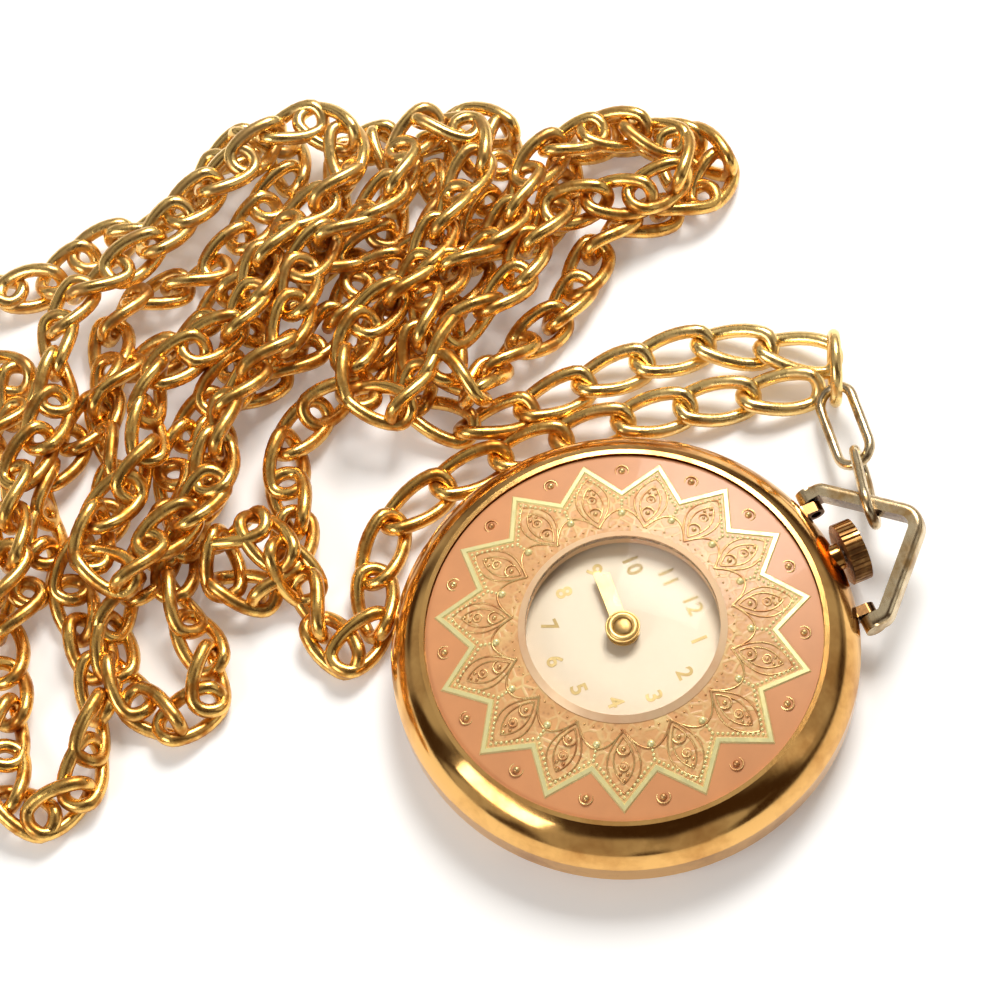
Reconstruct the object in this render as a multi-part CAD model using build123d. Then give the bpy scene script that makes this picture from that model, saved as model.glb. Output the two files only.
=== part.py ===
from build123d import *
import math
import os

os.makedirs("parts", exist_ok=True)

# A hand-wound pendant watch on a long curb chain, lying on its back.
# Millimetres. +Z goes up through the dial, +Y towards the crown and 12 o'clock,
# and the origin is the middle of the flat face that the watch rests on.

# Case
case_radius = 15.0
case_wall = 2.5
case_foot = 1.05
band_low = 1.6
band_high = 3.3
band_edge = 0.45
crest_height = 5.7
crest_width = 0.3
bezel_bulge = 0.5
shelf_height = 5.0
shelf_thickness = 0.6
shelf_width = 0.9

# Case back
back_inset = 0.5
rest_inset = 3.7
back_lift = 0.45
back_wall = 0.6
back_lip_thickness = 0.45
seam = 0.05

# Enamelled plate
plate_overhang = 0.1
plate_fit = 0.06
plate_thickness = 0.45
plate_rise = 1.2

# Dial opening, crystal and hands
opening_radius = 6.4
rim_wall = 0.25
rim_flange = 0.2
rim_flange_height = 0.25
rim_depth = 0.9
crystal_thickness = 0.45
crystal_dome = 0.7
dial_radius = 7.4
dial_thickness = 0.3
dial_gap = 0.05
dial_foot_radius = 0.35
dial_foot_length = 0.6
dial_foot_inset = 0.8
dial_foot_angle = 40.0
hand_thickness = 0.12
hand_gap = 0.16
hour_hand_length = 4.1
minute_hand_length = 4.25
hand_width = 0.95
hand_tip_width = 0.45
hour_boss_radius = 1.05
minute_boss_radius = 0.85
minute_hand_angle = 270.0
hour_hand_angle = 278.0

# Movement, from the case back up to the dial
movement_radius = 8.9
bridge_low = 2.3
bridge_thickness = 0.6
wheel_space = 0.9
mainplate_thickness = 1.3
mainplate_flange = 0.6
mainplate_flange_thickness = 0.4
bridge_inset = 0.2
ring_low = 2.7
running_gap = 0.05
pivot_clearance = 0.02
arbor_radius = 0.15
pivot_radius = 0.09
pivot_length = 0.4
jewel_radius = 0.5
jewel_thickness = 0.3
pillar_radius = 0.8
pillar_circle = 7.85
barrel_pillar_angles = (155, 115, 62)
train_pillar_angles = (4, 295, 261)
cock_pillar_angle = 188.6
cock_thickness = 0.42
cock_end_radius = 1.1
screw_radius = 0.28
screw_head_radius = 0.55
screw_head_height = 0.28
screw_slot_width = 0.14
screw_slot_depth = 0.1
screw_grip = 0.5
spoke_width = 0.28
hub_radius = 0.55
rim_width = 0.3

# Going train
barrel_teeth = 60
centre_pinion_teeth = 10
centre_wheel_teeth = 48
third_pinion_teeth = 6
third_wheel_teeth = 45
fourth_pinion_teeth = 6
fourth_wheel_teeth = 60
escape_pinion_teeth = 6
escape_teeth = 15
barrel_module = 0.1
centre_module = 0.12
third_module = 0.1066
fourth_module = 0.08
addendum_share = 1.0
dedendum_share = 1.25
tooth_root_share = 0.42
wheel_thickness = 0.15
pinion_length = 0.3
barrel_angle = 160.0
third_angle = 340.0
fourth_angle = 247.0
escape_angle = 195.0
first_level = 0.1
second_level = 0.35
third_level = 0.6
escape_radius = 1.5
escape_root_share = 0.78
escape_lean_share = 0.35

# Barrel
barrel_recess = 0.4
barrel_floor = 0.2
barrel_wall = 0.2
barrel_height = 0.75
cover_thickness = 0.1
barrel_rim_inset = 0.4
barrel_arbor_radius = 0.3
barrel_core_radius = 0.8
spring_thickness = 0.09
mainspring_turns = 5
spiral_steps = 14

# Escapement and balance
pallet_distance_share = 1.155
balance_angle = 170.0
balance_reach = 4.11
balance_radius = 2.6
balance_rim_width = 0.35
balance_rim_height = 0.2
balance_gap = 0.05
roller_radius = 0.5
impulse_radius = 0.06
hairspring_radius = 1.35
hairspring_turns = 4
hairspring_height = 0.1
hairspring_strip = 0.05
collet_radius = 0.3
cock_width = 2.0
pallet_bridge_thickness = 0.15
pallet_bridge_half = 2.0
pallet_bridge_width = 0.7
pallet_arm_width = 0.22
pallet_stone_width = 0.16
pallet_stone_gap = 0.1
pallet_span_teeth = 2.5
fork_gap = 0.03
fork_slot_width = 0.18
fork_width = 0.42

# Motion work under the dial
motion_module = 0.1
cannon_teeth = 10
minute_wheel_teeth = 30
minute_pinion_teeth = 8
hour_wheel_teeth = 32
setting_wheel_teeth = 16
motion_depth = 0.5
motion_wheel_thickness = 0.14
minute_wheel_angle = 37.0
setting_wheel_angle = 140.0
centre_post_radius = 0.24
cannon_pipe_radius = 0.48
hour_pipe_radius = 0.68
pipe_clearance = 0.03
setting_wheel_drop = 0.45

# Winding and setting work
stem_drop = 0.2
stem_radius = 0.4
pilot_radius = 0.28
pilot_start = 3.1
pilot_length = 0.4
crown_pull = 0.6
winding_pinion_teeth = 18
crown_wheel_teeth = 28
ratchet_teeth = 32
crown_wheel_distance = 4.0
winding_wheel_thickness = 0.4
winding_face_width = 0.32
winding_hub_radius = 0.62
winding_hub_length = 1.3
clutch_length = 1.2
clutch_gap = 0.06
clutch_share = 0.6
clutch_groove_width = 0.32
clutch_groove_depth = 0.18
lever_thickness = 0.16
setting_lever_reach = 2.2
setting_lever_pivot_y = 7.5
groove_depth = 0.14
nib_radius = 0.13
yoke_pivot_x = -2.3
yoke_pivot_y = 6.9
yoke_tip_width = 0.14
lever_boss_radius = 0.5
click_distance = 3.5
click_angle = 100.0
click_boss_radius = 0.55
click_gap = 0.04
click_spring_width = 0.16
core_screw_radius = 0.85
core_boss_radius = 0.6

# Crown
crown_radius = 2.05
crown_length = 1.2
crown_gap = 0.12
crown_flutes = 36
crown_flute_share = 0.045
crown_dome = 0.18
tube_radius = 0.9
tube_wall = 0.3
tube_stand = 0.15

# Bow, with its lugs on the case
bow_height = 2.9
bow_hinge_stand = 0.15
bow_half_width = 4.9
bow_length = 6.0
bow_wire_width = 0.95
bow_wire_height = 1.55
bow_wire_round = 0.45
bow_corner_radius = 1.2
bow_foot_length = 0.95
bow_rest_angle = 15.0
bow_foot_radius = 0.68
bow_pin_radius = 0.3
bow_pin_length = 0.6
lug_gap = 0.12
lug_width = 0.7
lug_radius = 0.6

# Links between the bow and the chain
link_wire = 0.7
link_sides = 8
link_gap = 0.15
bow_link_length = 7.0
bow_link_width = 3.3
bow_link_reach = 3.35
bow_link_slack = 0.22
bow_link_x = -7.0
bow_link_y = 19.75
bow_link_z = 1.9
bow_link_roll = 74.0
end_link_length = 6.9
end_link_width = 3.1
end_link_roll = -28.0
jump_ring_radius = 2.25
jump_ring_x = -13.1
jump_ring_y = 20.95
jump_ring_turn = 67.7
jump_ring_dip = 20.0

# Chain: the line of its links, from the jump ring round the heap and back to it
chain_diameter = 2.2
chain_run_share = 0.45
chain_route = [
    (-14.6, 21.3, 1.2), (-17.6, 17.2, 1.2), (-19.7, 13.3, 1.2), (-19.6, 8.4, 1.2), (-19.8, 3.7, 1.2),
    (-19.3, -0.5, 1.2), (-20.0, -4.1, 1.2), (-23.4, -6.4, 1.2), (-27.0, -4.3, 1.2), (-28.8, -0.3, 1.2),
    (-31.2, 3.8, 1.2), (-33.8, 7.7, 1.2), (-36.7, 10.1, 1.2), (-37.8, 12.9, 1.2), (-36.6, 15.8, 1.2),
    (-35.7, 20.1, 1.2), (-31.9, 21.5, 1.2), (-30.1, 17.9, 1.2), (-29.9, 14.1, 1.2), (-27.9, 9.6, 1.2),
    (-25.4, 5.2, 1.2), (-23.1, 1.3, 1.5), (-20.7, -1.2, 2.9), (-22.0, -2.8, 3.6), (-25.1, -1.2, 3.6),
    (-27.7, 2.2, 3.6), (-29.7, 5.8, 3.6), (-31.5, 10.1, 3.6), (-32.5, 13.6, 3.6), (-31.6, 16.7, 3.6),
    (-34.5, 18.6, 3.6), (-36.8, 15.6, 3.6), (-35.8, 11.9, 3.6), (-34.3, 8.2, 3.6), (-31.9, 4.5, 3.6),
    (-30.3, 0.3, 3.6), (-27.7, -3.1, 3.6), (-24.6, -5.5, 3.6), (-21.3, -7.1, 3.6), (-22.6, -10.3, 3.6),
    (-26.4, -9.8, 3.6), (-29.1, -6.5, 3.6), (-31.8, -2.8, 3.6), (-34.2, 0.9, 3.6), (-36.5, 4.1, 3.6),
    (-39.8, 5.4, 3.6), (-42.1, 2.9, 3.6), (-40.1, -0.1, 3.6), (-37.6, -3.5, 3.6), (-35.0, -7.8, 3.6),
    (-32.5, -11.4, 3.6), (-29.3, -14.8, 3.6), (-25.5, -17.6, 3.6), (-22.5, -21.0, 3.6),
    (-19.0, -23.8, 3.6), (-16.4, -26.6, 3.6), (-17.8, -29.1, 3.6), (-21.5, -28.4, 3.6),
    (-24.6, -25.6, 3.6), (-28.1, -22.7, 3.6), (-31.0, -19.4, 3.6), (-33.8, -15.3, 3.6),
    (-36.6, -11.4, 3.6), (-39.1, -7.6, 3.6), (-41.1, -4.2, 3.6), (-44.8, -3.6, 3.6),
    (-46.7, -6.3, 3.6), (-45.0, -9.6, 3.6), (-42.7, -13.4, 3.6), (-42.3, -17.7, 3.6),
    (-40.8, -21.5, 3.6), (-37.9, -25.1, 3.6), (-34.2, -28.1, 3.6), (-29.5, -30.0, 3.6),
    (-26.0, -33.1, 3.6), (-22.1, -35.2, 3.6), (-20.0, -38.4, 3.4), (-20.0, -43.1, 1.6),
    (-25.2, -45.5, 1.2), (-27.9, -41.5, 1.2), (-28.6, -35.9, 1.2), (-32.2, -31.9, 1.2),
    (-36.1, -30.2, 1.2), (-38.9, -33.0, 1.2), (-40.4, -37.0, 1.2), (-44.9, -39.7, 1.2),
    (-47.9, -36.4, 1.2), (-45.1, -31.8, 1.2), (-43.0, -26.2, 1.2), (-42.8, -21.1, 1.2),
    (-44.3, -16.7, 1.2), (-46.1, -12.6, 1.2), (-47.6, -9.0, 1.2), (-45.4, -6.3, 1.2),
    (-42.1, -7.5, 1.2), (-40.7, -11.9, 1.2), (-39.8, -16.7, 1.2), (-37.5, -21.9, 1.2),
    (-34.0, -25.6, 1.2), (-29.8, -28.6, 1.2), (-25.4, -31.6, 1.2), (-20.9, -34.1, 1.2),
    (-17.1, -37.1, 1.2), (-12.5, -39.9, 1.2), (-7.8, -40.4, 1.2), (-4.8, -38.1, 1.2),
    (-5.5, -34.4, 1.2), (-9.3, -32.8, 1.2), (-14.0, -33.2, 1.2), (-18.8, -31.3, 1.2),
    (-23.9, -28.3, 1.2), (-29.1, -25.1, 1.2), (-33.4, -21.4, 1.2), (-35.6, -16.4, 1.2),
    (-37.2, -11.6, 1.2), (-39.3, -6.5, 1.2), (-42.3, -3.6, 1.2), (-44.7, -1.0, 1.2), (-42.0, 2.1, 1.2),
    (-37.8, -0.8, 1.2), (-35.5, -5.6, 1.2), (-33.3, -11.0, 1.2), (-31.8, -15.3, 1.2),
    (-28.9, -19.1, 1.2), (-24.5, -22.3, 1.2), (-20.0, -26.1, 1.2), (-15.5, -29.4, 1.2),
    (-12.8, -30.5, 1.2), (-8.3, -30.6, 1.2), (-7.8, -26.9, 1.2), (-12.4, -25.6, 1.2),
    (-17.5, -24.6, 1.2), (-22.3, -21.1, 1.2), (-26.6, -17.0, 1.2), (-29.6, -12.3, 1.2),
    (-31.2, -7.6, 1.2), (-33.3, -2.7, 1.2), (-35.9, 1.4, 1.2), (-39.2, 3.0, 1.2), (-41.6, 5.3, 1.2),
    (-40.6, 8.1, 1.2), (-37.5, 7.3, 1.2), (-34.9, 5.1, 1.2), (-32.7, 1.0, 1.2), (-30.1, -3.5, 1.2),
    (-28.2, -8.7, 1.2), (-25.2, -13.0, 1.2), (-21.0, -15.6, 1.2), (-16.5, -17.5, 1.2),
    (-12.7, -19.0, 1.2), (-13.2, -22.8, 1.2), (-16.6, -22.4, 1.6), (-18.8, -20.3, 2.5),
    (-18.2, -18.2, 3.5), (-16.5, -16.1, 3.4), (-13.8, -15.6, 1.8), (-11.5, -17.7, 1.2),
    (-7.6, -18.0, 1.2), (-6.9, -14.5, 1.2), (-11.8, -13.2, 1.2), (-15.5, -10.7, 1.2),
    (-16.5, -7.0, 1.2), (-17.0, -2.8, 1.2), (-16.5, 1.6, 1.2), (-16.1, 6.0, 1.2), (-15.4, 10.6, 1.2),
    (-14.4, 14.6, 1.2), (-13.0, 19.3, 1.2),
]

# One overrun serves every cut
cut = 1.0

# Heights and places worked out from the sizes above
case_inner_radius = case_radius - case_wall
back_radius = case_radius - back_inset
rest_radius = back_radius - rest_inset
plate_radius = case_inner_radius + plate_overhang
dial_foot_circle = dial_radius - dial_foot_inset
bow_hinge_y = case_radius + bow_hinge_stand
bridge_top = bridge_low + bridge_thickness
plate_low = bridge_top + wheel_space
stem_height = plate_low - stem_drop
mainplate_top = plate_low + mainplate_thickness
dial_low = mainplate_top + dial_gap
dial_top = dial_low + dial_thickness
ratchet_high = bridge_low - running_gap
ratchet_low = ratchet_high - winding_wheel_thickness
plate_edge_top = shelf_height + plate_thickness
opening_height = plate_edge_top + plate_rise


def toward(distance, degrees, start=(0, 0)):
    """The point at a distance and compass angle from a start point."""
    turn = math.radians(degrees)
    return (start[0] + distance * math.cos(turn), start[1] + distance * math.sin(turn))


def pitch_radius(teeth, module):
    return teeth * module / 2


def centres(teeth, mating_teeth, module):
    """Distance between the axes of two meshing wheels."""
    return (teeth + mating_teeth) * module / 2


barrel_at = toward(centres(barrel_teeth, centre_pinion_teeth, barrel_module), barrel_angle)
third_at = toward(centres(centre_wheel_teeth, third_pinion_teeth, centre_module), third_angle)
fourth_at = toward(centres(third_wheel_teeth, fourth_pinion_teeth, third_module), fourth_angle, third_at)
escape_at = toward(centres(fourth_wheel_teeth, escape_pinion_teeth, fourth_module), escape_angle, fourth_at)
pallet_at = toward(escape_radius * pallet_distance_share, balance_angle, escape_at)
balance_at = toward(balance_reach, balance_angle, escape_at)
minute_wheel_at = toward(centres(minute_wheel_teeth, cannon_teeth, motion_module), minute_wheel_angle)
setting_wheel_at = toward(
    centres(minute_wheel_teeth, setting_wheel_teeth, motion_module), setting_wheel_angle, minute_wheel_at
)
crown_wheel_at = (0, crown_wheel_distance)
winding_span = math.dist(crown_wheel_at, barrel_at)
winding_module = 2 * winding_span / (crown_wheel_teeth + ratchet_teeth)
crown_wheel_radius = pitch_radius(crown_wheel_teeth, winding_module)
winding_y = crown_wheel_distance + crown_wheel_radius
click_at = toward(click_distance, click_angle, barrel_at)


def dome_points(radius, low, rise):
    """Edge, middle and top of a dome's outline, as (radius, height) points."""
    sphere = (radius**2 + rise**2) / (2 * rise)
    half_turn = math.asin(radius / sphere) / 2
    middle = (sphere * math.sin(half_turn), low + rise - sphere * (1 - math.cos(half_turn)))
    return (radius, low), middle, (0, low + rise)


def disc(radius, low, high, at=(0, 0)):
    return Pos(at[0], at[1], low) * extrude(Circle(radius), high - low)


def ring(outer, inner, low, high, at=(0, 0)):
    return Pos(at[0], at[1], low) * extrude(Circle(outer) - Circle(inner), high - low)


def turned(*points):
    """A solid turned about Z from a closed outline of (radius, height) points."""
    return revolve(Plane.XZ * make_face(Polyline(*points, close=True)), Axis.Z)


def rod_along_y(radius, start, end, height=stem_height):
    return Pos(0, start, height) * Rot(-90, 0, 0) * extrude(Circle(radius), end - start)


def bar(start, end, width, low, high):
    """A round-ended bar between two points, seen from above."""
    middle = ((start[0] + end[0]) / 2, (start[1] + end[1]) / 2)
    length = math.dist(start, end)
    angle = math.degrees(math.atan2(end[1] - start[1], end[0] - start[0]))
    face = SlotCenterToCenter(length, width)
    return Pos(middle[0], middle[1], low) * Rot(0, 0, angle) * extrude(face, high - low)


def plate_from(outline, low, high):
    """A flat plate from a closed outline of plan points."""
    return Pos(0, 0, low) * extrude(make_face(Polyline(*outline, close=True)), high - low)


def tooth_outline(teeth, module):
    """Pointed teeth with a flat gap floor between them, as on a watch wheel."""
    pitch = pitch_radius(teeth, module)
    tip = pitch + addendum_share * module
    root = pitch - dedendum_share * module
    step = 360 / teeth
    outline = []
    for number in range(teeth):
        angle = number * step
        outline.append(toward(root, angle - tooth_root_share * step))
        outline.append(toward(tip, angle))
        outline.append(toward(root, angle + tooth_root_share * step))
    return outline


def toothed(teeth, module, low, high, at=(0, 0), phase=0):
    wheel = extrude(make_face(Polyline(*tooth_outline(teeth, module), close=True)), high - low)
    return Pos(at[0], at[1], low) * Rot(0, 0, phase) * wheel


def mesh_phase(teeth, mating_teeth, mating_phase, direction):
    """The turn that puts a gap of the mating wheel at a tooth of this one."""
    mating_step = 360 / mating_teeth
    offset = (direction - mating_phase) % mating_step
    shift = (offset / mating_step - 0.5) * 360 / teeth
    return direction + 180 + shift


def spokes(rim_inner, count, low, high, at=(0, 0)):
    """The openings between the spokes of a wheel."""
    blank = ring(rim_inner, hub_radius, low - cut, high + cut, at)
    for number in range(count):
        angle = 180 * number / count
        far = toward(rim_inner + cut, angle, at)
        near = toward(rim_inner + cut, angle + 180, at)
        blank -= bar(near, far, spoke_width, low - 2 * cut, high + 2 * cut)
    return blank


def wheel_with_pinion(teeth, module, level, leaves, pinion_module, pinion_level, at, phases):
    """A spoked wheel, its pinion and its arbor with thin pivots, as one running piece."""
    low = bridge_top + level
    high = low + wheel_thickness
    piece = toothed(teeth, module, low, high, at, phases[0])
    rim_inner = pitch_radius(teeth, module) - dedendum_share * module - rim_width
    piece -= spokes(rim_inner, 2, low, high, at)
    leaf_middle = bridge_top + pinion_level + wheel_thickness / 2
    piece += toothed(leaves, pinion_module, leaf_middle - pinion_length / 2, leaf_middle + pinion_length / 2,
                     at, phases[1])
    return piece + arbor(at)


def arbor(at):
    """A shaft between bridge and mainplate with a pivot at each end."""
    shaft = disc(arbor_radius, bridge_top + running_gap, plate_low - running_gap, at)
    return shaft + disc(pivot_radius, bridge_top - pivot_length, plate_low + pivot_length, at)


def pivot_hole(at, low, high):
    return disc(pivot_radius + pivot_clearance, low, high, at)


def spiral(inner, outer, turns, strip, low, high, at=(0, 0)):
    """A flat coiled strip, drawn with short straight steps."""
    steps = turns * spiral_steps
    inside = []
    outside = []
    for number in range(steps + 1):
        radius = inner + (outer - inner) * number / steps
        angle = 360 * number / spiral_steps
        inside.append(toward(radius, angle, at))
        outside.append(toward(radius + strip, angle, at))
    return plate_from(inside + outside[::-1], low, high)


parts = {}

# Case: one shell whose sloping bezel, band, inner shelf and bow lugs are a single piece
crest_radius = plate_radius + plate_fit
shelf_inner = case_inner_radius - shelf_width
slope_middle = (
    (case_radius + crest_radius + crest_width) / 2 + bezel_bulge / 2,
    (band_high + crest_height) / 2 + bezel_bulge / 2,
)
with BuildSketch(Plane.XZ) as case_profile:
    with BuildLine():
        Polyline(
            (case_inner_radius, case_foot),
            (case_radius - band_edge, case_foot),
            (case_radius, band_low),
            (case_radius, band_high),
        )
        ThreePointArc(
            (case_radius, band_high), slope_middle, (crest_radius + crest_width, crest_height)
        )
        Polyline(
            (crest_radius + crest_width, crest_height),
            (crest_radius, crest_height),
            (crest_radius, shelf_height),
            (shelf_inner, shelf_height),
            (shelf_inner, shelf_height - shelf_thickness),
            (case_inner_radius, shelf_height - shelf_thickness),
            (case_inner_radius, case_foot),
        )
    make_face()
case_body = revolve(case_profile.sketch, Axis.Z)
lug_x = bow_half_width - bow_wire_width / 2 - lug_gap - lug_width / 2
lug_wall_y = math.sqrt(case_radius**2 - lug_x**2) - band_edge
for side in (-1, 1):
    lug = Pos(side * lug_x, (lug_wall_y + bow_hinge_y) / 2, bow_height) * Box(
        lug_width, bow_hinge_y - lug_wall_y, 2 * lug_radius
    )
    lug += Pos(side * lug_x - lug_width / 2, bow_hinge_y, bow_height) * Rot(0, 90, 0) * extrude(
        Circle(lug_radius), lug_width
    )
    case_body += lug
pin_hole_radius = bow_pin_radius + running_gap
for side in (-1, 1):
    case_body -= Pos(side * lug_x, bow_hinge_y, bow_height) * Rot(0, 90, 0) * Cylinder(
        pin_hole_radius, lug_width + lug_gap
    )
case_body -= rod_along_y(tube_radius, shelf_inner - cut, case_radius + cut)
parts["case_body"] = case_body

# Snap back: a shallow pan whose inner lip presses the movement ring against the case
lip_outer = case_inner_radius - seam
lip_inner = lip_outer - back_lip_thickness
back_step = case_foot - seam
parts["case_back"] = turned(
    (0, 0),
    (rest_radius, 0),
    (back_radius, back_lift),
    (back_radius, back_step),
    (lip_outer, back_step),
    (lip_outer, ring_low),
    (lip_inner, ring_low),
    (lip_inner, back_step - back_wall + back_lift),
    (rest_radius, back_wall),
    (0, back_wall),
)

# Crown tube pressed into the case wall
tube_outer_end = case_radius + tube_stand
parts["crown_tube"] = rod_along_y(tube_radius, case_inner_radius, tube_outer_end) - rod_along_y(
    tube_radius - tube_wall, case_inner_radius - cut, tube_outer_end + cut
)

# Enamelled plate: a thin shallow cone round the dial opening
parts["enamel_plate"] = turned(
    (plate_radius, shelf_height),
    (plate_radius, plate_edge_top),
    (opening_radius, opening_height),
    (opening_radius, opening_height - plate_thickness),
    (plate_radius - plate_thickness, shelf_height),
)

# Rim that holds the crystal in the opening of the plate
rim_top = opening_height + rim_flange_height
rim_inner = opening_radius - rim_wall
parts["crystal_rim"] = turned(
    (rim_inner, opening_height - rim_depth),
    (opening_radius, opening_height - rim_depth),
    (opening_radius, opening_height),
    (opening_radius + rim_flange, opening_height),
    (rim_inner, rim_top),
)

# Domed crystal
with BuildSketch(Plane.XZ) as crystal_profile:
    with BuildLine():
        edge_top = rim_top - rim_flange_height / 2
        edge_low = edge_top - crystal_thickness
        ThreePointArc(*dome_points(rim_inner, edge_top, crystal_dome))
        Line((rim_inner, edge_top), (rim_inner, edge_low))
        ThreePointArc(*dome_points(rim_inner, edge_low, crystal_dome))
        Line((0, edge_low + crystal_dome), (0, edge_top + crystal_dome))
    make_face()
parts["crystal"] = revolve(crystal_profile.sketch, Axis.Z)

# Dial with its two feet
dial_hole = hour_pipe_radius + 2 * running_gap
dial = ring(dial_radius, dial_hole, dial_low, dial_top)
foot_places = [toward(dial_foot_circle, dial_foot_angle + 180 * number) for number in range(2)]
for place in foot_places:
    dial += disc(dial_foot_radius, dial_low - dial_foot_length, dial_low, place)
parts["dial"] = dial

# Hands
hour_hand_low = dial_top + 2 * hand_gap
hour_hand_high = hour_hand_low + hand_thickness
minute_hand_low = hour_hand_high + hand_gap
minute_hand_high = minute_hand_low + hand_thickness


def hand(length, boss, bore, low, angle):
    """A tapered hand with a round boss, pointing along its clock angle."""
    outline = (
        (0, hand_width / 2),
        (length, hand_tip_width / 2),
        (length, -hand_tip_width / 2),
        (0, -hand_width / 2),
    )
    high = low + hand_thickness
    piece = plate_from(outline, low, high) + disc(boss, low, high)
    piece -= disc(bore, low - cut, high + cut)
    return Rot(0, 0, 90 - angle) * piece


parts["hour_hand"] = hand(
    hour_hand_length, hour_boss_radius, hour_pipe_radius, hour_hand_low, hour_hand_angle
)
parts["minute_hand"] = hand(
    minute_hand_length, minute_boss_radius, cannon_pipe_radius, minute_hand_low, minute_hand_angle
)

# Mainplate, with the recesses that the wheels and the winding work turn in
flange_radius = movement_radius + mainplate_flange
flange_low = mainplate_top - mainplate_flange_thickness
mainplate = disc(movement_radius, plate_low, mainplate_top)
mainplate += disc(flange_radius, flange_low, mainplate_top)
barrel_tip = pitch_radius(barrel_teeth, barrel_module) + addendum_share * barrel_module
mainplate -= disc(barrel_tip + 2 * running_gap, plate_low - cut, plate_low + barrel_recess, barrel_at)
pinion_tip = pitch_radius(centre_pinion_teeth, barrel_module) + addendum_share * barrel_module
mainplate -= disc(pinion_tip + 2 * running_gap, plate_low - cut, plate_low + barrel_recess)
motion_floor = mainplate_top - motion_depth
hour_tip = pitch_radius(hour_wheel_teeth, motion_module) + motion_module
minute_tip = pitch_radius(minute_wheel_teeth, motion_module) + motion_module
setting_tip = pitch_radius(setting_wheel_teeth, motion_module) + motion_module
mainplate -= disc(hour_tip + 2 * running_gap, motion_floor, mainplate_top + cut)
mainplate -= disc(minute_tip + 2 * running_gap, motion_floor, mainplate_top + cut, minute_wheel_at)
setting_floor = motion_floor - setting_wheel_drop
mainplate -= disc(setting_tip + 2 * running_gap, setting_floor, mainplate_top + cut, setting_wheel_at)
# Stem seats: an inner pilot block and an outer block, with the keyless pocket between them
pilot_end = pilot_start + pilot_length
outer_block_start = winding_y + winding_hub_length / 2 + 2 * running_gap
block_low = stem_height - stem_radius - 2 * running_gap
pocket_half = pitch_radius(winding_pinion_teeth, winding_module) + winding_module + running_gap
block_half = stem_radius + running_gap
mainplate += Pos(0, (pilot_start + pilot_end) / 2, (block_low + plate_low) / 2) * Box(
    2 * block_half, pilot_length, plate_low - block_low
)
outer_block_end = math.sqrt(movement_radius**2 - block_half**2)
mainplate += Pos(0, (outer_block_start + outer_block_end) / 2, (block_low + plate_low) / 2) * Box(
    4 * block_half, outer_block_end - outer_block_start, plate_low - block_low
)
mainplate -= Pos(0, (pilot_end + outer_block_start) / 2, plate_low + mainplate_thickness / 2) * Box(
    2 * pocket_half, outer_block_start - pilot_end, mainplate_thickness + 2 * cut
)
mainplate -= rod_along_y(pilot_radius + running_gap, pilot_start - running_gap, pilot_end + cut)
mainplate -= rod_along_y(stem_radius + running_gap, outer_block_start - cut, flange_radius + cut)
# Slot and pocket for the setting lever, on the dial side
nib_low = stem_height + stem_radius - groove_depth
nib_rest_y = setting_lever_pivot_y - crown_pull / 2
nib_slot_half = nib_radius + 2 * running_gap
lever_pocket_low = mainplate_top - 2 * lever_thickness - 2 * running_gap
setting_pivot_at = (setting_lever_reach, setting_lever_pivot_y)
mainplate -= Pos(0, setting_lever_pivot_y, (nib_low + mainplate_top) / 2) * Box(
    2 * nib_slot_half, crown_pull + 2 * nib_slot_half, mainplate_top - nib_low + cut
)
mainplate -= Pos(setting_lever_reach / 2, setting_lever_pivot_y, lever_pocket_low + cut / 2) * Box(
    setting_lever_reach, crown_pull + 2 * lever_boss_radius, cut
)
mainplate -= disc(lever_boss_radius + running_gap, lever_pocket_low, mainplate_top + cut, setting_pivot_at)
# Pocket for the yoke, on the bridge side
yoke_at = (yoke_pivot_x, yoke_pivot_y)
clutch_start = winding_y - winding_hub_length / 2 - clutch_gap - clutch_length
groove_middle = clutch_start + clutch_length * clutch_share
yoke_low = stem_height + winding_hub_radius - clutch_groove_depth + running_gap
yoke_high = yoke_low + lever_thickness
yoke_pocket_high = yoke_high + running_gap
mainplate -= disc(lever_boss_radius + running_gap, plate_low - cut, yoke_pocket_high, yoke_at)
yoke_swing = clutch_share * crown_pull
mainplate -= bar(yoke_at, (yoke_pivot_x / 2, groove_middle), 2 * lever_boss_radius + 2 * yoke_swing,
                 plate_low - cut, yoke_pocket_high)
for place in foot_places:
    mainplate -= disc(dial_foot_radius, dial_low - dial_foot_length, mainplate_top + cut, place)
centre_hole = centre_post_radius + pivot_clearance
mainplate -= disc(centre_hole, plate_low - cut, mainplate_top + cut)
mainplate += disc(arbor_radius, motion_floor, mainplate_top - 2 * running_gap, minute_wheel_at)
mainplate += disc(arbor_radius, setting_floor, mainplate_top - 2 * running_gap, setting_wheel_at)
for place in (third_at, fourth_at, escape_at, pallet_at, balance_at):
    mainplate -= pivot_hole(place, plate_low - cut, plate_low + pivot_length + running_gap)
barrel_pivot_top = plate_low + barrel_recess + pivot_length
mainplate -= disc(barrel_arbor_radius + pivot_clearance, plate_low - cut, barrel_pivot_top, barrel_at)

# Bridges: each stands on its own pillars, with a screw through every pillar
bridge_radius = movement_radius - bridge_inset
barrel_bridge_shares = ((-1.1, 0.0), (-0.14, 0.0), (0.18, 0.3), (1.1, 0.3), (1.1, 1.1), (-1.1, 1.1))
train_bridge_shares = ((-0.18, -0.04), (-0.12, -0.04), (0.2, 0.26), (1.1, 0.26), (1.1, -1.1), (-0.2, -1.1))
barrel_pillars = [toward(pillar_circle, angle) for angle in barrel_pillar_angles]
train_pillars = [toward(pillar_circle, angle) for angle in train_pillar_angles]
cock_pillar = toward(pillar_circle, cock_pillar_angle)


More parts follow.
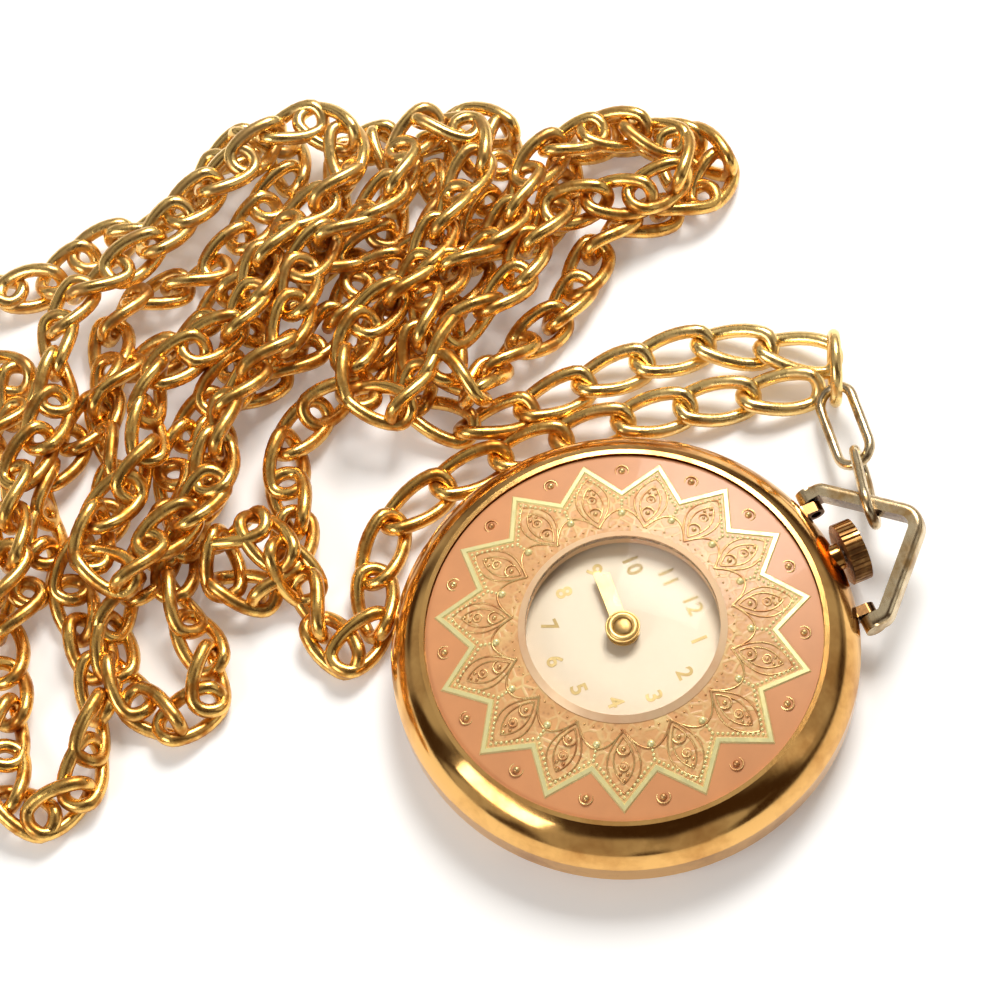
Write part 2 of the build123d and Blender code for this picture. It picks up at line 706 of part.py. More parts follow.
def bridge(shares, pillars):
    """A bridge cut from the movement's disc, on its pillars."""
    outline = [(x * bridge_radius, y * bridge_radius) for x, y in shares]
    piece = disc(bridge_radius, bridge_low, bridge_top) & plate_from(outline, bridge_low, bridge_top)
    for place in pillars:
        piece += disc(pillar_radius, bridge_top, plate_low, place)
        piece -= disc(screw_radius, bridge_low - cut, plate_low + cut, place)
    return piece


def bridge_screw(place):
    """A slotted cheese-head screw whose head sits on the bridge's outer face."""
    screw = disc(screw_head_radius, bridge_low - screw_head_height, bridge_low, place)
    screw += disc(screw_radius, bridge_low, plate_low + screw_grip, place)
    slot = Box(2 * screw_head_radius + cut, screw_slot_width, 2 * screw_slot_depth)
    return screw - Pos(place[0], place[1], bridge_low - screw_head_height) * slot


barrel_bridge = bridge(barrel_bridge_shares, barrel_pillars)
arbor_hole = barrel_arbor_radius + pivot_clearance
barrel_bridge -= disc(arbor_hole, bridge_low - cut, bridge_top + cut, barrel_at)
barrel_bridge -= Pos(0, winding_y, bridge_low) * Box(
    2 * pocket_half, winding_face_width + 4 * running_gap, 2 * (bridge_thickness + cut)
)
core_height = ratchet_high - ratchet_low + running_gap
barrel_bridge += disc(core_boss_radius, ratchet_low - running_gap, bridge_low, crown_wheel_at)
barrel_bridge -= disc(screw_radius, bridge_low - core_height - cut, bridge_top - running_gap, crown_wheel_at)
barrel_bridge += disc(click_boss_radius / 2, ratchet_low - running_gap, bridge_low, click_at)
parts["barrel_bridge"] = barrel_bridge

train_bridge = bridge(train_bridge_shares, train_pillars)
train_bridge -= pivot_hole((0, 0), bridge_low - cut, bridge_top + cut)
jewel_low = bridge_top - jewel_thickness
train_jewels = (third_at, fourth_at, escape_at)
for place in train_jewels:
    train_bridge -= disc(jewel_radius, jewel_low, bridge_top + cut, place)
    train_bridge -= pivot_hole(place, bridge_low - cut, bridge_top + cut)
parts["train_bridge"] = train_bridge

cock_top = bridge_low + cock_thickness
balance_cock = bar(cock_pillar, balance_at, cock_width, bridge_low, cock_top)
balance_cock += disc(cock_end_radius, bridge_low, cock_top, balance_at)
balance_cock += disc(pillar_radius, cock_top, plate_low, cock_pillar)
balance_cock &= disc(bridge_radius, bridge_low, plate_low)
balance_cock -= disc(screw_radius, bridge_low - cut, plate_low + cut, cock_pillar)
balance_cock -= disc(jewel_radius, cock_top - jewel_thickness, cock_top + cut, balance_at)
balance_cock -= pivot_hole(balance_at, bridge_low - cut, cock_top + cut)
parts["balance_cock"] = balance_cock

# Jewels: pierced stones pressed into the bridges
jewels = [
    ring(jewel_radius, pivot_radius + pivot_clearance, jewel_low, bridge_top, place) for place in train_jewels
]
jewels.append(
    ring(jewel_radius, pivot_radius + pivot_clearance, cock_top - jewel_thickness, cock_top, balance_at)
)
parts["jewels"] = Compound(children=[jewel for jewel in jewels])

# The mainplate takes the screws' threads
pallet_bridge_low = bridge_top + second_level
pallet_bridge_high = pallet_bridge_low + pallet_bridge_thickness
pallet_posts = (
    toward(pallet_bridge_half, balance_angle - 90, pallet_at),
    toward(pallet_bridge_half, balance_angle + 90, pallet_at),
)
for place in (*barrel_pillars, *train_pillars, cock_pillar):
    mainplate -= disc(screw_radius, plate_low - cut, plate_low + screw_grip, place)
parts["mainplate"] = mainplate
bridge_screws = [bridge_screw(place) for place in (*barrel_pillars, *train_pillars, cock_pillar)]
parts["bridge_screws"] = Compound(children=bridge_screws)

pallet_bridge = bar(
    pallet_posts[0], pallet_posts[1], pallet_bridge_width, pallet_bridge_low, pallet_bridge_high
)
for place in pallet_posts:
    pallet_bridge += disc(pallet_bridge_width / 2, pallet_bridge_high, plate_low, place)
pallet_bridge -= pivot_hole(pallet_at, pallet_bridge_low - cut, pallet_bridge_high + cut)
parts["pallet_bridge"] = pallet_bridge

# Ring that centres the movement in the case
ring_outer = lip_outer
ring_step = shelf_height - shelf_thickness - running_gap / 2
movement_ring = ring(ring_outer, movement_radius + running_gap, ring_low, ring_step)
movement_ring += ring(shelf_inner - 2 * running_gap, movement_radius + running_gap, ring_step, flange_low)
movement_ring -= rod_along_y(tube_radius - tube_wall + running_gap, movement_radius - cut, ring_outer + cut)
parts["movement_ring"] = movement_ring

# Going train
centre_wheel_low = bridge_top + first_level
centre_wheel_high = centre_wheel_low + wheel_thickness
centre_wheel = toothed(centre_wheel_teeth, centre_module, centre_wheel_low, centre_wheel_high)
centre_rim_inner = (
    pitch_radius(centre_wheel_teeth, centre_module) - dedendum_share * centre_module - rim_width
)
centre_wheel -= spokes(centre_rim_inner, 2, centre_wheel_low, centre_wheel_high)
barrel_low = plate_low + barrel_recess - running_gap - barrel_height
barrel_high = barrel_low + barrel_height
centre_wheel += toothed(
    centre_pinion_teeth, barrel_module, barrel_high - barrel_floor - running_gap, barrel_high
)
cannon_low = motion_floor + running_gap
cannon_leaf_high = cannon_low + motion_wheel_thickness + running_gap
centre_wheel += disc(pivot_radius, bridge_top - pivot_length, centre_wheel_low)
centre_wheel += disc(centre_post_radius, centre_wheel_low, minute_hand_low)
parts["centre_wheel"] = centre_wheel

third_phase = mesh_phase(third_pinion_teeth, centre_wheel_teeth, 0, third_angle)
parts["third_wheel"] = wheel_with_pinion(
    third_wheel_teeth, third_module, third_level, third_pinion_teeth, centre_module, first_level,
    third_at, (0, third_phase),
)
fourth_phase = mesh_phase(fourth_pinion_teeth, third_wheel_teeth, 0, fourth_angle)
parts["fourth_wheel"] = wheel_with_pinion(
    fourth_wheel_teeth, fourth_module, second_level, fourth_pinion_teeth, third_module, third_level,
    fourth_at, (0, fourth_phase),
)

# Escape wheel: fifteen leaning teeth on a light spoked rim
escape_low = bridge_top + third_level
escape_root = escape_radius * escape_root_share
escape_outline = []
for number in range(escape_teeth):
    angle = 360 * number / escape_teeth
    lean = escape_lean_share * 360 / escape_teeth
    escape_outline.append(toward(escape_root, angle, escape_at))
    escape_outline.append(toward(escape_radius, angle + lean, escape_at))
    escape_outline.append(toward(escape_root, angle + 2 * lean * escape_root_share, escape_at))
escape_wheel = plate_from(escape_outline, escape_low, escape_low + wheel_thickness)
escape_wheel -= spokes(escape_root - rim_width / 2, 2, escape_low, escape_low + wheel_thickness, escape_at)
escape_phase = mesh_phase(escape_pinion_teeth, fourth_wheel_teeth, 0, escape_angle)
escape_leaf_middle = bridge_top + second_level + wheel_thickness / 2
escape_wheel += toothed(
    escape_pinion_teeth, fourth_module, escape_leaf_middle - pinion_length / 2,
    escape_leaf_middle + pinion_length / 2, escape_at, escape_phase,
)
parts["escape_wheel"] = escape_wheel + arbor(escape_at)

# Barrel: a toothed drum, its cover, its arbor and the mainspring coiled inside
barrel_phase = mesh_phase(barrel_teeth, centre_pinion_teeth, 0, barrel_angle)
floor_low = barrel_high - barrel_floor
drum_radius = barrel_tip - barrel_rim_inset
drum_inner = drum_radius - barrel_wall
cover_high = barrel_low + cover_thickness
barrel = toothed(barrel_teeth, barrel_module, floor_low, barrel_high, barrel_at, barrel_phase)
barrel -= disc(arbor_hole, floor_low - cut, barrel_high + cut, barrel_at)
barrel += ring(drum_radius, drum_inner, cover_high, floor_low, barrel_at)
parts["barrel"] = barrel
parts["barrel_cover"] = ring(drum_radius, arbor_hole, barrel_low, cover_high, barrel_at)
core_low = cover_high + running_gap
core_high = floor_low - running_gap
barrel_arbor = disc(barrel_arbor_radius, ratchet_low, barrel_pivot_top - running_gap, barrel_at)
parts["barrel_arbor"] = barrel_arbor + disc(barrel_core_radius, core_low, core_high, barrel_at)
parts["mainspring"] = spiral(
    barrel_core_radius + running_gap, drum_inner - 2 * spring_thickness, mainspring_turns, spring_thickness,
    core_low, core_high, barrel_at,
)

# Winding wheels on the bridge's outer face
crown_to_barrel = math.degrees(math.atan2(barrel_at[1] - crown_wheel_at[1], barrel_at[0] - crown_wheel_at[0]))
ratchet_phase = mesh_phase(ratchet_teeth, crown_wheel_teeth, 0, crown_to_barrel)
ratchet = toothed(ratchet_teeth, winding_module, ratchet_low, ratchet_high, barrel_at, ratchet_phase)
parts["ratchet_wheel"] = ratchet - disc(barrel_arbor_radius, ratchet_low - cut, ratchet_high + cut, barrel_at)
crown_wheel = toothed(crown_wheel_teeth, winding_module, ratchet_low, ratchet_high, crown_wheel_at)
parts["crown_wheel"] = crown_wheel - disc(
    core_boss_radius + running_gap, ratchet_low - cut, ratchet_high + cut, crown_wheel_at
)


def core_screw(place, shank_top, seat):
    """A wide flat screw that keeps a winding wheel down."""
    head_low = seat - screw_head_height
    screw = disc(core_screw_radius, head_low, seat, place) + disc(screw_radius, seat, shank_top, place)
    slot = Box(2 * core_screw_radius + cut, screw_slot_width, 2 * screw_slot_depth)
    return screw - Pos(place[0], place[1], head_low) * slot


crown_seat = ratchet_low - running_gap
parts["crown_wheel_screw"] = core_screw(crown_wheel_at, bridge_top - 2 * running_gap, crown_seat)
cap_low = ratchet_low - screw_head_height
ratchet_cap = disc(core_screw_radius, cap_low, ratchet_low, barrel_at)
ratchet_slot = Box(2 * core_screw_radius + cut, screw_slot_width, 2 * screw_slot_depth)
parts["ratchet_screw"] = ratchet_cap - Pos(barrel_at[0], barrel_at[1], cap_low) * ratchet_slot

# Click that holds the ratchet wheel, and its wire spring
ratchet_tip = pitch_radius(ratchet_teeth, winding_module) + winding_module
beak_at = toward(
    ratchet_tip + click_gap + click_spring_width / 2, click_angle + 2 * click_angle / ratchet_teeth, barrel_at
)
click_hole = click_boss_radius / 2 + pivot_clearance
click = disc(click_boss_radius, ratchet_low, ratchet_high, click_at)
click += bar(click_at, beak_at, click_spring_width, ratchet_low, ratchet_high)
parts["click"] = click - disc(click_hole, ratchet_low - cut, ratchet_high + cut, click_at)
spring_end = toward(click_boss_radius + click_spring_width / 2 + click_gap, click_angle + 90, click_at)
spring_root = toward(click_distance / 2, click_angle + 60, click_at)
click_spring = bar(spring_end, spring_root, click_spring_width, ratchet_low, ratchet_high)
parts["click_spring"] = click_spring + disc(click_spring_width, ratchet_low, bridge_low, spring_root)

# Pallet fork, with its two stones and its arbor
fork_low = escape_low
fork_high = escape_low + wheel_thickness
to_balance = math.dist(pallet_at, balance_at)
fork_tip = toward(to_balance - roller_radius - fork_gap - fork_width / 2, balance_angle, pallet_at)
pallet_fork = bar(pallet_at, toward(to_balance - 2 * roller_radius, balance_angle, pallet_at),
                  pallet_arm_width, fork_low, fork_high)
fork_head = bar(toward(to_balance - 2 * roller_radius, balance_angle, pallet_at), fork_tip,
                fork_width, fork_low, fork_high)
slot_far = toward(to_balance, balance_angle, pallet_at)
slot_near = toward(to_balance - roller_radius - fork_width, balance_angle, pallet_at)
pallet_fork += fork_head
pallet_fork -= bar(slot_near, slot_far, fork_slot_width, fork_low - cut, fork_high + cut)
stone_span = 360 / escape_teeth * pallet_span_teeth / 2
for side in (-1, 1):
    stone_reach = escape_radius + pallet_stone_width / 2 + pallet_stone_gap
    stone_at = toward(stone_reach, balance_angle + side * stone_span, escape_at)
    pallet_fork += bar(pallet_at, stone_at, pallet_stone_width, fork_low, fork_high)
pallet_arbor = disc(arbor_radius, pallet_bridge_high + running_gap, plate_low - running_gap, pallet_at)
pallet_arbor += disc(pivot_radius, pallet_bridge_low, plate_low + pivot_length, pallet_at)
parts["pallet_fork"] = pallet_fork + pallet_arbor

# Balance: a spoked rim, the staff with its roller and impulse pin, and the hairspring
balance_low = bridge_top + balance_gap
balance_high = balance_low + balance_rim_height
balance_wheel = disc(balance_radius, balance_low, balance_high, balance_at)
balance_wheel -= spokes(balance_radius - balance_rim_width, 2, balance_low, balance_high, balance_at)
parts["balance_wheel"] = balance_wheel - disc(arbor_radius, balance_low - cut, balance_high + cut, balance_at)
staff_low = cock_top + running_gap
roller_high = fork_low - running_gap
staff = disc(arbor_radius, staff_low, plate_low - running_gap, balance_at)
staff += disc(pivot_radius, cock_top - jewel_thickness, plate_low + pivot_length, balance_at)
staff += disc(roller_radius, roller_high - wheel_thickness, roller_high, balance_at)
impulse_at = toward(roller_radius - impulse_radius - pivot_clearance, balance_angle + 180, balance_at)
parts["balance_staff"] = staff + disc(impulse_radius, roller_high, fork_high, impulse_at)
hairspring_low = staff_low
hairspring = spiral(
    collet_radius, hairspring_radius, hairspring_turns, hairspring_strip,
    hairspring_low, hairspring_low + hairspring_height, balance_at,
)
collet = ring(collet_radius + hairspring_strip, arbor_radius, hairspring_low,
              hairspring_low + hairspring_height, balance_at)
parts["hairspring"] = hairspring + collet

# Motion work between the mainplate and the dial
cannon_top = minute_hand_high + hand_gap
cannon = toothed(cannon_teeth, motion_module, cannon_low, cannon_leaf_high)
cannon += disc(cannon_pipe_radius, cannon_leaf_high, cannon_top)
parts["cannon_pinion"] = cannon - disc(centre_post_radius, cannon_low - cut, cannon_top + cut)
minute_wheel_phase = mesh_phase(minute_wheel_teeth, cannon_teeth, 0, minute_wheel_angle)
minute_low = cannon_low + running_gap / 2
minute_wheel = toothed(
    minute_wheel_teeth, motion_module, minute_low, minute_low + motion_wheel_thickness,
    minute_wheel_at, minute_wheel_phase,
)
minute_wheel += toothed(
    minute_pinion_teeth, motion_module, minute_low + motion_wheel_thickness, mainplate_top - running_gap,
    minute_wheel_at,
)
stud_hole = arbor_radius + pivot_clearance
parts["minute_wheel"] = minute_wheel - disc(stud_hole, minute_low - cut, mainplate_top + cut, minute_wheel_at)
hour_phase = mesh_phase(hour_wheel_teeth, minute_pinion_teeth, 0, minute_wheel_angle + 180)
hour_high = mainplate_top - running_gap
hour_low = hour_high - motion_wheel_thickness
hour_wheel = toothed(hour_wheel_teeth, motion_module, hour_low, hour_high, phase=hour_phase)
hour_wheel += disc(hour_pipe_radius, hour_high, hour_hand_high + running_gap)
hour_bore = cannon_pipe_radius + pipe_clearance
parts["hour_wheel"] = hour_wheel - disc(hour_bore, hour_low - cut, hour_hand_high + cut)
setting_phase = mesh_phase(setting_wheel_teeth, minute_wheel_teeth, minute_wheel_phase, setting_wheel_angle)
setting_wheel = toothed(
    setting_wheel_teeth, motion_module, setting_floor + running_gap, minute_low + motion_wheel_thickness,
    setting_wheel_at, setting_phase,
)
parts["setting_wheel"] = setting_wheel - disc(stud_hole, setting_floor, mainplate_top, setting_wheel_at)

# Winding stem with its pilot, its lever groove and the crown on its end
crown_start = case_radius + tube_stand + crown_gap
winding_start = winding_y - winding_hub_length / 2
winding_end = winding_y + winding_hub_length / 2
stem = rod_along_y(stem_radius, pilot_end, crown_start)
stem += rod_along_y(pilot_radius, pilot_start, pilot_end)
groove_half = nib_radius + running_gap
nib_groove = rod_along_y(stem_radius, nib_rest_y - groove_half, nib_rest_y + groove_half) - rod_along_y(
    stem_radius - groove_depth, nib_rest_y - groove_half, nib_rest_y + groove_half
)
parts["winding_stem"] = stem - nib_groove

# Crown: a fluted knob with a shallow dome
crown_end = crown_start + crown_length
with BuildSketch(Plane.YZ) as crown_profile:
    with BuildLine():
        Polyline(
            (crown_start, 0),
            (crown_start, crown_radius),
            (crown_end, crown_radius),
        )
        crown_face = dome_points(crown_radius, crown_end, crown_dome)
        ThreePointArc(*[(height, radius) for radius, height in crown_face])
        Line((crown_end + crown_dome, 0), (crown_start, 0))
    make_face()
crown = Pos(0, 0, stem_height) * revolve(crown_profile.sketch, Axis.Y)
flute_radius = crown_flute_share * crown_radius
for number in range(crown_flutes):
    place = toward(crown_radius, 360 * number / crown_flutes)
    crown -= Pos(place[0], crown_start - cut, stem_height + place[1]) * Rot(-90, 0, 0) * extrude(
        RegularPolygon(flute_radius, 4), crown_length + crown_dome + 2 * cut
    )
parts["crown"] = crown

# Winding pinion, meshing down into the crown wheel, and the sliding clutch wheel
winding_phase = 90 + 180 / winding_pinion_teeth
winding_face = Pos(0, winding_y - winding_face_width / 2, stem_height) * Rot(-90, 0, 0) * toothed(
    winding_pinion_teeth, winding_module, 0, winding_face_width, phase=winding_phase
)
winding_bore = stem_radius + pivot_clearance
winding_pinion = winding_face + rod_along_y(winding_hub_radius, winding_start, winding_end)
parts["winding_pinion"] = winding_pinion - rod_along_y(winding_bore, winding_start - cut, winding_end + cut)
clutch_end = clutch_start + clutch_length
clutch = rod_along_y(winding_hub_radius, clutch_start, clutch_end)
clutch -= rod_along_y(
    winding_hub_radius, groove_middle - clutch_groove_width / 2, groove_middle + clutch_groove_width / 2
) - rod_along_y(
    winding_hub_radius - clutch_groove_depth,
    groove_middle - clutch_groove_width / 2,
    groove_middle + clutch_groove_width / 2,
)
clutch_notches = 8
for number in range(clutch_notches // 2):
    notch = Box(3 * winding_hub_radius, clutch_groove_depth, clutch_groove_depth)
    clutch -= Pos(0, clutch_start, stem_height) * Rot(0, 360 * number / clutch_notches, 0) * notch
parts["clutch_wheel"] = clutch - rod_along_y(winding_bore, clutch_start - cut, clutch_end + cut)

# Setting lever: its nib rides in the stem's groove
lever_low = lever_pocket_low + running_gap
lever_high = lever_low + lever_thickness
nib_at = (0, nib_rest_y)
setting_lever = bar(setting_pivot_at, nib_at, 3 * nib_radius, lever_low, lever_high)
setting_lever += disc(lever_boss_radius, lever_low, lever_high, setting_pivot_at)
setting_lever += disc(nib_radius, nib_low + running_gap, lever_low, nib_at)
parts["setting_lever"] = setting_lever

# Yoke: its fork end sits in the clutch wheel's groove
yoke_tip = (winding_hub_radius, groove_middle)
yoke_heel = (-winding_hub_radius, groove_middle)
yoke = bar(yoke_tip, yoke_heel, yoke_tip_width, yoke_low, yoke_high)
yoke += bar(yoke_at, yoke_heel, yoke_tip_width, yoke_low, yoke_high)
yoke += disc(lever_boss_radius, yoke_low, yoke_high, yoke_at)
parts["yoke"] = yoke

# Bow: a triangular stirrup of half-round wire, hinged on pins in the lugs
bow_path = FilletPolyline(
    (-bow_half_width, 0),
    (-bow_half_width, bow_foot_length),
    (0, bow_length),
    (bow_half_width, bow_foot_length),
    (bow_half_width, 0),
    radius=[bow_corner_radius / 2, bow_corner_radius, bow_corner_radius / 2],
)
bow_section = Rectangle(bow_wire_width, bow_wire_height)
bow_section = fillet(bow_section.vertices().sort_by(Axis.X)[:2], bow_wire_round)
bow_start = Plane(origin=bow_path @ 0, x_dir=(1, 0, 0), z_dir=(0, 1, 0))
bow_blank = sweep(bow_start * bow_section, path=bow_path)
for side in (-1, 1):
    bow_blank += Pos(side * bow_half_width, 0, 0) * Rot(0, 90, 0) * Cylinder(bow_foot_radius, bow_wire_width)
for side in (-1, 1):
    inward = side * (bow_half_width - bow_wire_width / 2 - bow_pin_length / 2)
    bow_blank += Pos(inward, 0, 0) * Rot(0, 90, 0) * Cylinder(bow_pin_radius, bow_pin_length)
bow_place = Pos(0, bow_hinge_y, bow_height) * Rot(bow_rest_angle, 0, 0)
parts["bow"] = bow_place * bow_blank


link_section = RegularPolygon(link_wire / 2, link_sides)


def oval_link(length, width):
    """A plain oval link of wire, lying flat with its length along X."""
    bend = (width - link_wire) / 2
    reach = (length - width) / 2
    path = Line((0, -bend), (reach, -bend))
    path += ThreePointArc((reach, -bend), (reach + bend, 0), (reach, bend))
    path += Line((reach, bend), (-reach, bend))
    path += ThreePointArc((-reach, bend), (-reach - bend, 0), (-reach, -bend))
    path += Line((-reach, -bend), (0, -bend))
    section = Plane(origin=(0, -bend, 0), z_dir=(1, 0, 0)) * link_section
    return sweep(section, path=path)


def link_from(start, along, length, width, roll):
    """An oval link whose near bend is centred on a point, and the centre of its far bend."""
    side = along.cross(Vector(0, 0, 1)).normalized()
    middle = start + along * ((length - width) / 2)
    frame = Plane(origin=middle, x_dir=along, z_dir=side.cross(along))
    return frame * Rot(roll, 0, 0) * oval_link(length, width), start + along * (length - width)


# Bow link: an oval link hooked round the left leg of the bow
bow_tilt = math.radians(bow_rest_angle)
leg_share = (bow_link_reach - bow_foot_length) / (bow_length - bow_foot_length)
hook_at = Vector(
    -bow_half_width * (1 - leg_share),
    bow_hinge_y + bow_link_reach * math.cos(bow_tilt),
    bow_height + bow_link_reach * math.sin(bow_tilt),
)
bow_link_along = (Vector(bow_link_x, bow_link_y, bow_link_z) - hook_at).normalized()
parts["bow_link"], bow_link_far = link_from(
    hook_at - bow_link_along * bow_link_slack, bow_link_along, bow_link_length, bow_link_width, bow_link_roll
)

# Jump ring, standing on edge where both ends of the chain meet
jump_ring_at = Vector(jump_ring_x, jump_ring_y, jump_ring_radius + link_wire / 2)
ring_normal = Vector(*toward(1, jump_ring_turn), 0)
jump_ring = revolve(Plane.XZ * Pos(jump_ring_radius, 0) * link_section, Axis.Z)
parts["jump_ring"] = Plane(origin=jump_ring_at, z_dir=ring_normal) * jump_ring

# End link, from the bow link to the jump ring
ring_side = Vector(*toward(1, jump_ring_turn - 90), 0)
dip = math.radians(jump_ring_dip)
ring_near = jump_ring_at + (ring_side * math.cos(dip) - Vector(0, 0, 1) * math.sin(dip)) * jump_ring_radius
end_link_along = (ring_near - bow_link_far).normalized()
bend_step = (bow_link_width + end_link_width) / 2 - 2 * link_wire - link_gap
parts["end_link"], end_link_far = link_from(
    bow_link_far + end_link_along * bend_step, end_link_along, end_link_length, end_link_width, end_link_roll
)

# Chain: one slim tube along the route, bent round each point
chain_points = [Vector(*point) for point in chain_route]
bend_radii = []
for before, point, after in zip(chain_points, chain_points[1:], chain_points[2:]):
    shorter_run = min((point - before).length, (after - point).length)
    half_bend = math.radians((point - before).get_angle(after - point)) / 2
    bend_radii.append(chain_run_share * shorter_run / math.tan(half_bend))
chain_line = FilletPolyline(*chain_points, radius=bend_radii)
chain_section = Plane(origin=chain_line @ 0, z_dir=chain_line % 0) * RegularPolygon(chain_diameter / 2, 6)
parts["chain"] = sweep(chain_section, path=chain_line)
print("chain bends from", round(min(bend_radii), 2), "to", round(max(bend_radii), 1))
print("chain line", round(chain_line.length, 1), "solid over section by line",
      round(parts["chain"].volume / (chain_section.area * chain_line.length), 4))

for name, piece in parts.items():
    export_step(piece, f"parts/{name}.step")
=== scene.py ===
import bpy
import math
from mathutils import Matrix, Vector, noise


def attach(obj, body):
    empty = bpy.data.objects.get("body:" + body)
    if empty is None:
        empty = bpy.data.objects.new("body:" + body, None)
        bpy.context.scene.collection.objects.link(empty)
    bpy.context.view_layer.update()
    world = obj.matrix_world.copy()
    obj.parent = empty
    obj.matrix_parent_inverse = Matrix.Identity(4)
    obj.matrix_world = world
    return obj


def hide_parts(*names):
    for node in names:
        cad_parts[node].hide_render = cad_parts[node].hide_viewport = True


# Pendant watch on its chain. Sizes are in millimetres and are scaled by mm.
mm = 0.001

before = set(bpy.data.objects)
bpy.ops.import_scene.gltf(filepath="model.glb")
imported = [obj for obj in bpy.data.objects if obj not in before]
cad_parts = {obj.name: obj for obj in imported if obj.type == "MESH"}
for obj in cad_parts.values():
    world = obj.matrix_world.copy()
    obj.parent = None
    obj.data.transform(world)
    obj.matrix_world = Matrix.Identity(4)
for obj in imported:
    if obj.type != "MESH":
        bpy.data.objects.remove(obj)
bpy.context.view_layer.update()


def scaled(point):
    return Vector(point) * mm


def addObject(name, data):
    made = bpy.data.objects.new(name, data)
    bpy.context.scene.collection.objects.link(made)
    return made


def newMesh(name, shape, smooth=True):
    vertices, faces = shape
    mesh = bpy.data.meshes.new(name)
    mesh.from_pydata(vertices, [], faces)
    mesh.validate()
    mesh.update()
    if smooth:
        mesh.shade_smooth()
    return addObject(name, mesh)


def fasten(piece, material, body):
    piece.data.materials.append(material)
    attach(piece, body)


# Forms that several pieces are made of; a shape is its vertices and its faces
def circleLine(middle, radius, count, across=Vector((1, 0, 0)), upward=Vector((0, 1, 0))):
    turns = [2 * math.pi * step / count for step in range(count)]
    return [middle + (across * math.cos(turn) + upward * math.sin(turn)) * radius for turn in turns]


def sweepLine(points, radius, around, shape, closed=True, lift=None):
    vertices, faces = shape
    count = len(points)
    start = len(vertices)
    normal = lift or Vector((0, 0, 1))
    for number, point in enumerate(points):
        before = points[number - 1] if closed or number else point
        after = points[(number + 1) % count] if closed or number + 1 < count else point
        along = (after - before).normalized()
        side = along.cross(normal).normalized()
        vertices.extend(circleLine(point, radius, around, side, side.cross(along)))
    for number in range(count if closed else count - 1):
        row = start + number * around
        following = start + (number + 1) % count * around
        for step in range(around):
            ahead = (step + 1) % around
            faces.append((row + step, following + step, following + ahead, row + ahead))


def addDome(middle, radius, height, shape, steps):
    vertices, faces = shape
    around, rows = steps
    start = len(vertices)
    for row in range(rows):
        rise = math.pi / 2 * row / rows
        level = middle + Vector((0, 0, math.sin(rise) * height))
        vertices.extend(circleLine(level, math.cos(rise) * radius, around))
    vertices.append(middle + Vector((0, 0, height)))
    top = len(vertices) - 1
    for row in range(rows):
        low = start + row * around
        for step in range(around):
            ahead = (step + 1) % around
            if row < rows - 1:
                faces.append((low + step, low + ahead, low + around + ahead, low + around + step))
            else:
                faces.append((low + step, low + ahead, top))


def takenMesh(curve):
    # The mesh's points and faces, with nothing left of the curve
    holder = addObject(curve.name, curve)
    bpy.context.view_layer.update()
    mesh = bpy.data.meshes.new_from_object(holder)
    points = [vertex.co.copy() for vertex in mesh.vertices]
    faces = [tuple(face.vertices) for face in mesh.polygons]
    bpy.data.objects.remove(holder)
    bpy.data.meshes.remove(mesh)
    bpy.data.curves.remove(curve)
    return points, faces


# Shader nodes
def feed(tree, entry, value):
    # A number or color is set, and the output of another node is linked
    if isinstance(value, bpy.types.NodeSocket):
        tree.links.new(value, entry)
    elif entry.type == "RGBA":
        entry.default_value = (*value, 1)
    else:
        entry.default_value = value


def feedAll(tree, node, values):
    for name, value in values.items():
        feed(tree, node.inputs[name], value)


def mathNode(tree, operation, *values):
    node = tree.nodes.new("ShaderNodeMath")
    node.operation = operation
    for entry, value in zip(node.inputs, values):
        feed(tree, entry, value)
    return node.outputs[0]


def vectorNode(tree, operation, *values):
    node = tree.nodes.new("ShaderNodeVectorMath")
    node.operation = operation
    for entry, value in zip(node.inputs, values):
        feed(tree, entry, value)
    return node.outputs["Value" if operation in ("DOT_PRODUCT", "LENGTH") else "Vector"]


def mixNode(tree, factor, first, second):
    node = tree.nodes.new("ShaderNodeMix")
    node.data_type = "RGBA"
    feedAll(tree, node, {"Factor": factor, "A": first, "B": second})
    return node.outputs["Result"]


def rampNode(tree, value, low, high, bottom=0, top=1, smooth=False):
    node = tree.nodes.new("ShaderNodeMapRange")
    if smooth:
        node.interpolation_type = "SMOOTHSTEP"
    feedAll(tree, node, {"Value": value, "From Min": low, "From Max": high, "To Min": bottom, "To Max": top})
    return node.outputs["Result"]


def noiseNode(tree, vector, scale, detail, roughness=0.5):
    node = tree.nodes.new("ShaderNodeTexNoise")
    feedAll(tree, node, {"Vector": vector, "Scale": scale, "Detail": detail, "Roughness": roughness})
    return node.outputs["Fac"]


def cellNode(tree, vector, scale, feature="F1"):
    node = tree.nodes.new("ShaderNodeTexVoronoi")
    node.feature = feature
    feedAll(tree, node, {"Vector": vector, "Scale": scale})
    return node.outputs["Distance"]


def bumpNode(tree, height, distance, strength=1.0):
    node = tree.nodes.new("ShaderNodeBump")
    feedAll(tree, node, {"Height": height, "Distance": distance * mm, "Strength": strength})
    return node.outputs["Normal"]


def objectPoint(tree):
    return tree.nodes.new("ShaderNodeTexCoord").outputs["Object"]


def flatRadius(tree, point):
    # How far a point stands from the middle of the watch, seen from above
    return vectorNode(tree, "LENGTH", vectorNode(tree, "MULTIPLY", point, (1, 1, 0)))


def splitPoint(tree, point):
    node = tree.nodes.new("ShaderNodeSeparateXYZ")
    tree.links.new(point, node.inputs[0])
    return node.outputs


def newMaterial(name):
    material = bpy.data.materials.new(name)
    material.use_nodes = True
    tree = material.node_tree
    return material, tree, tree.nodes["Principled BSDF"]


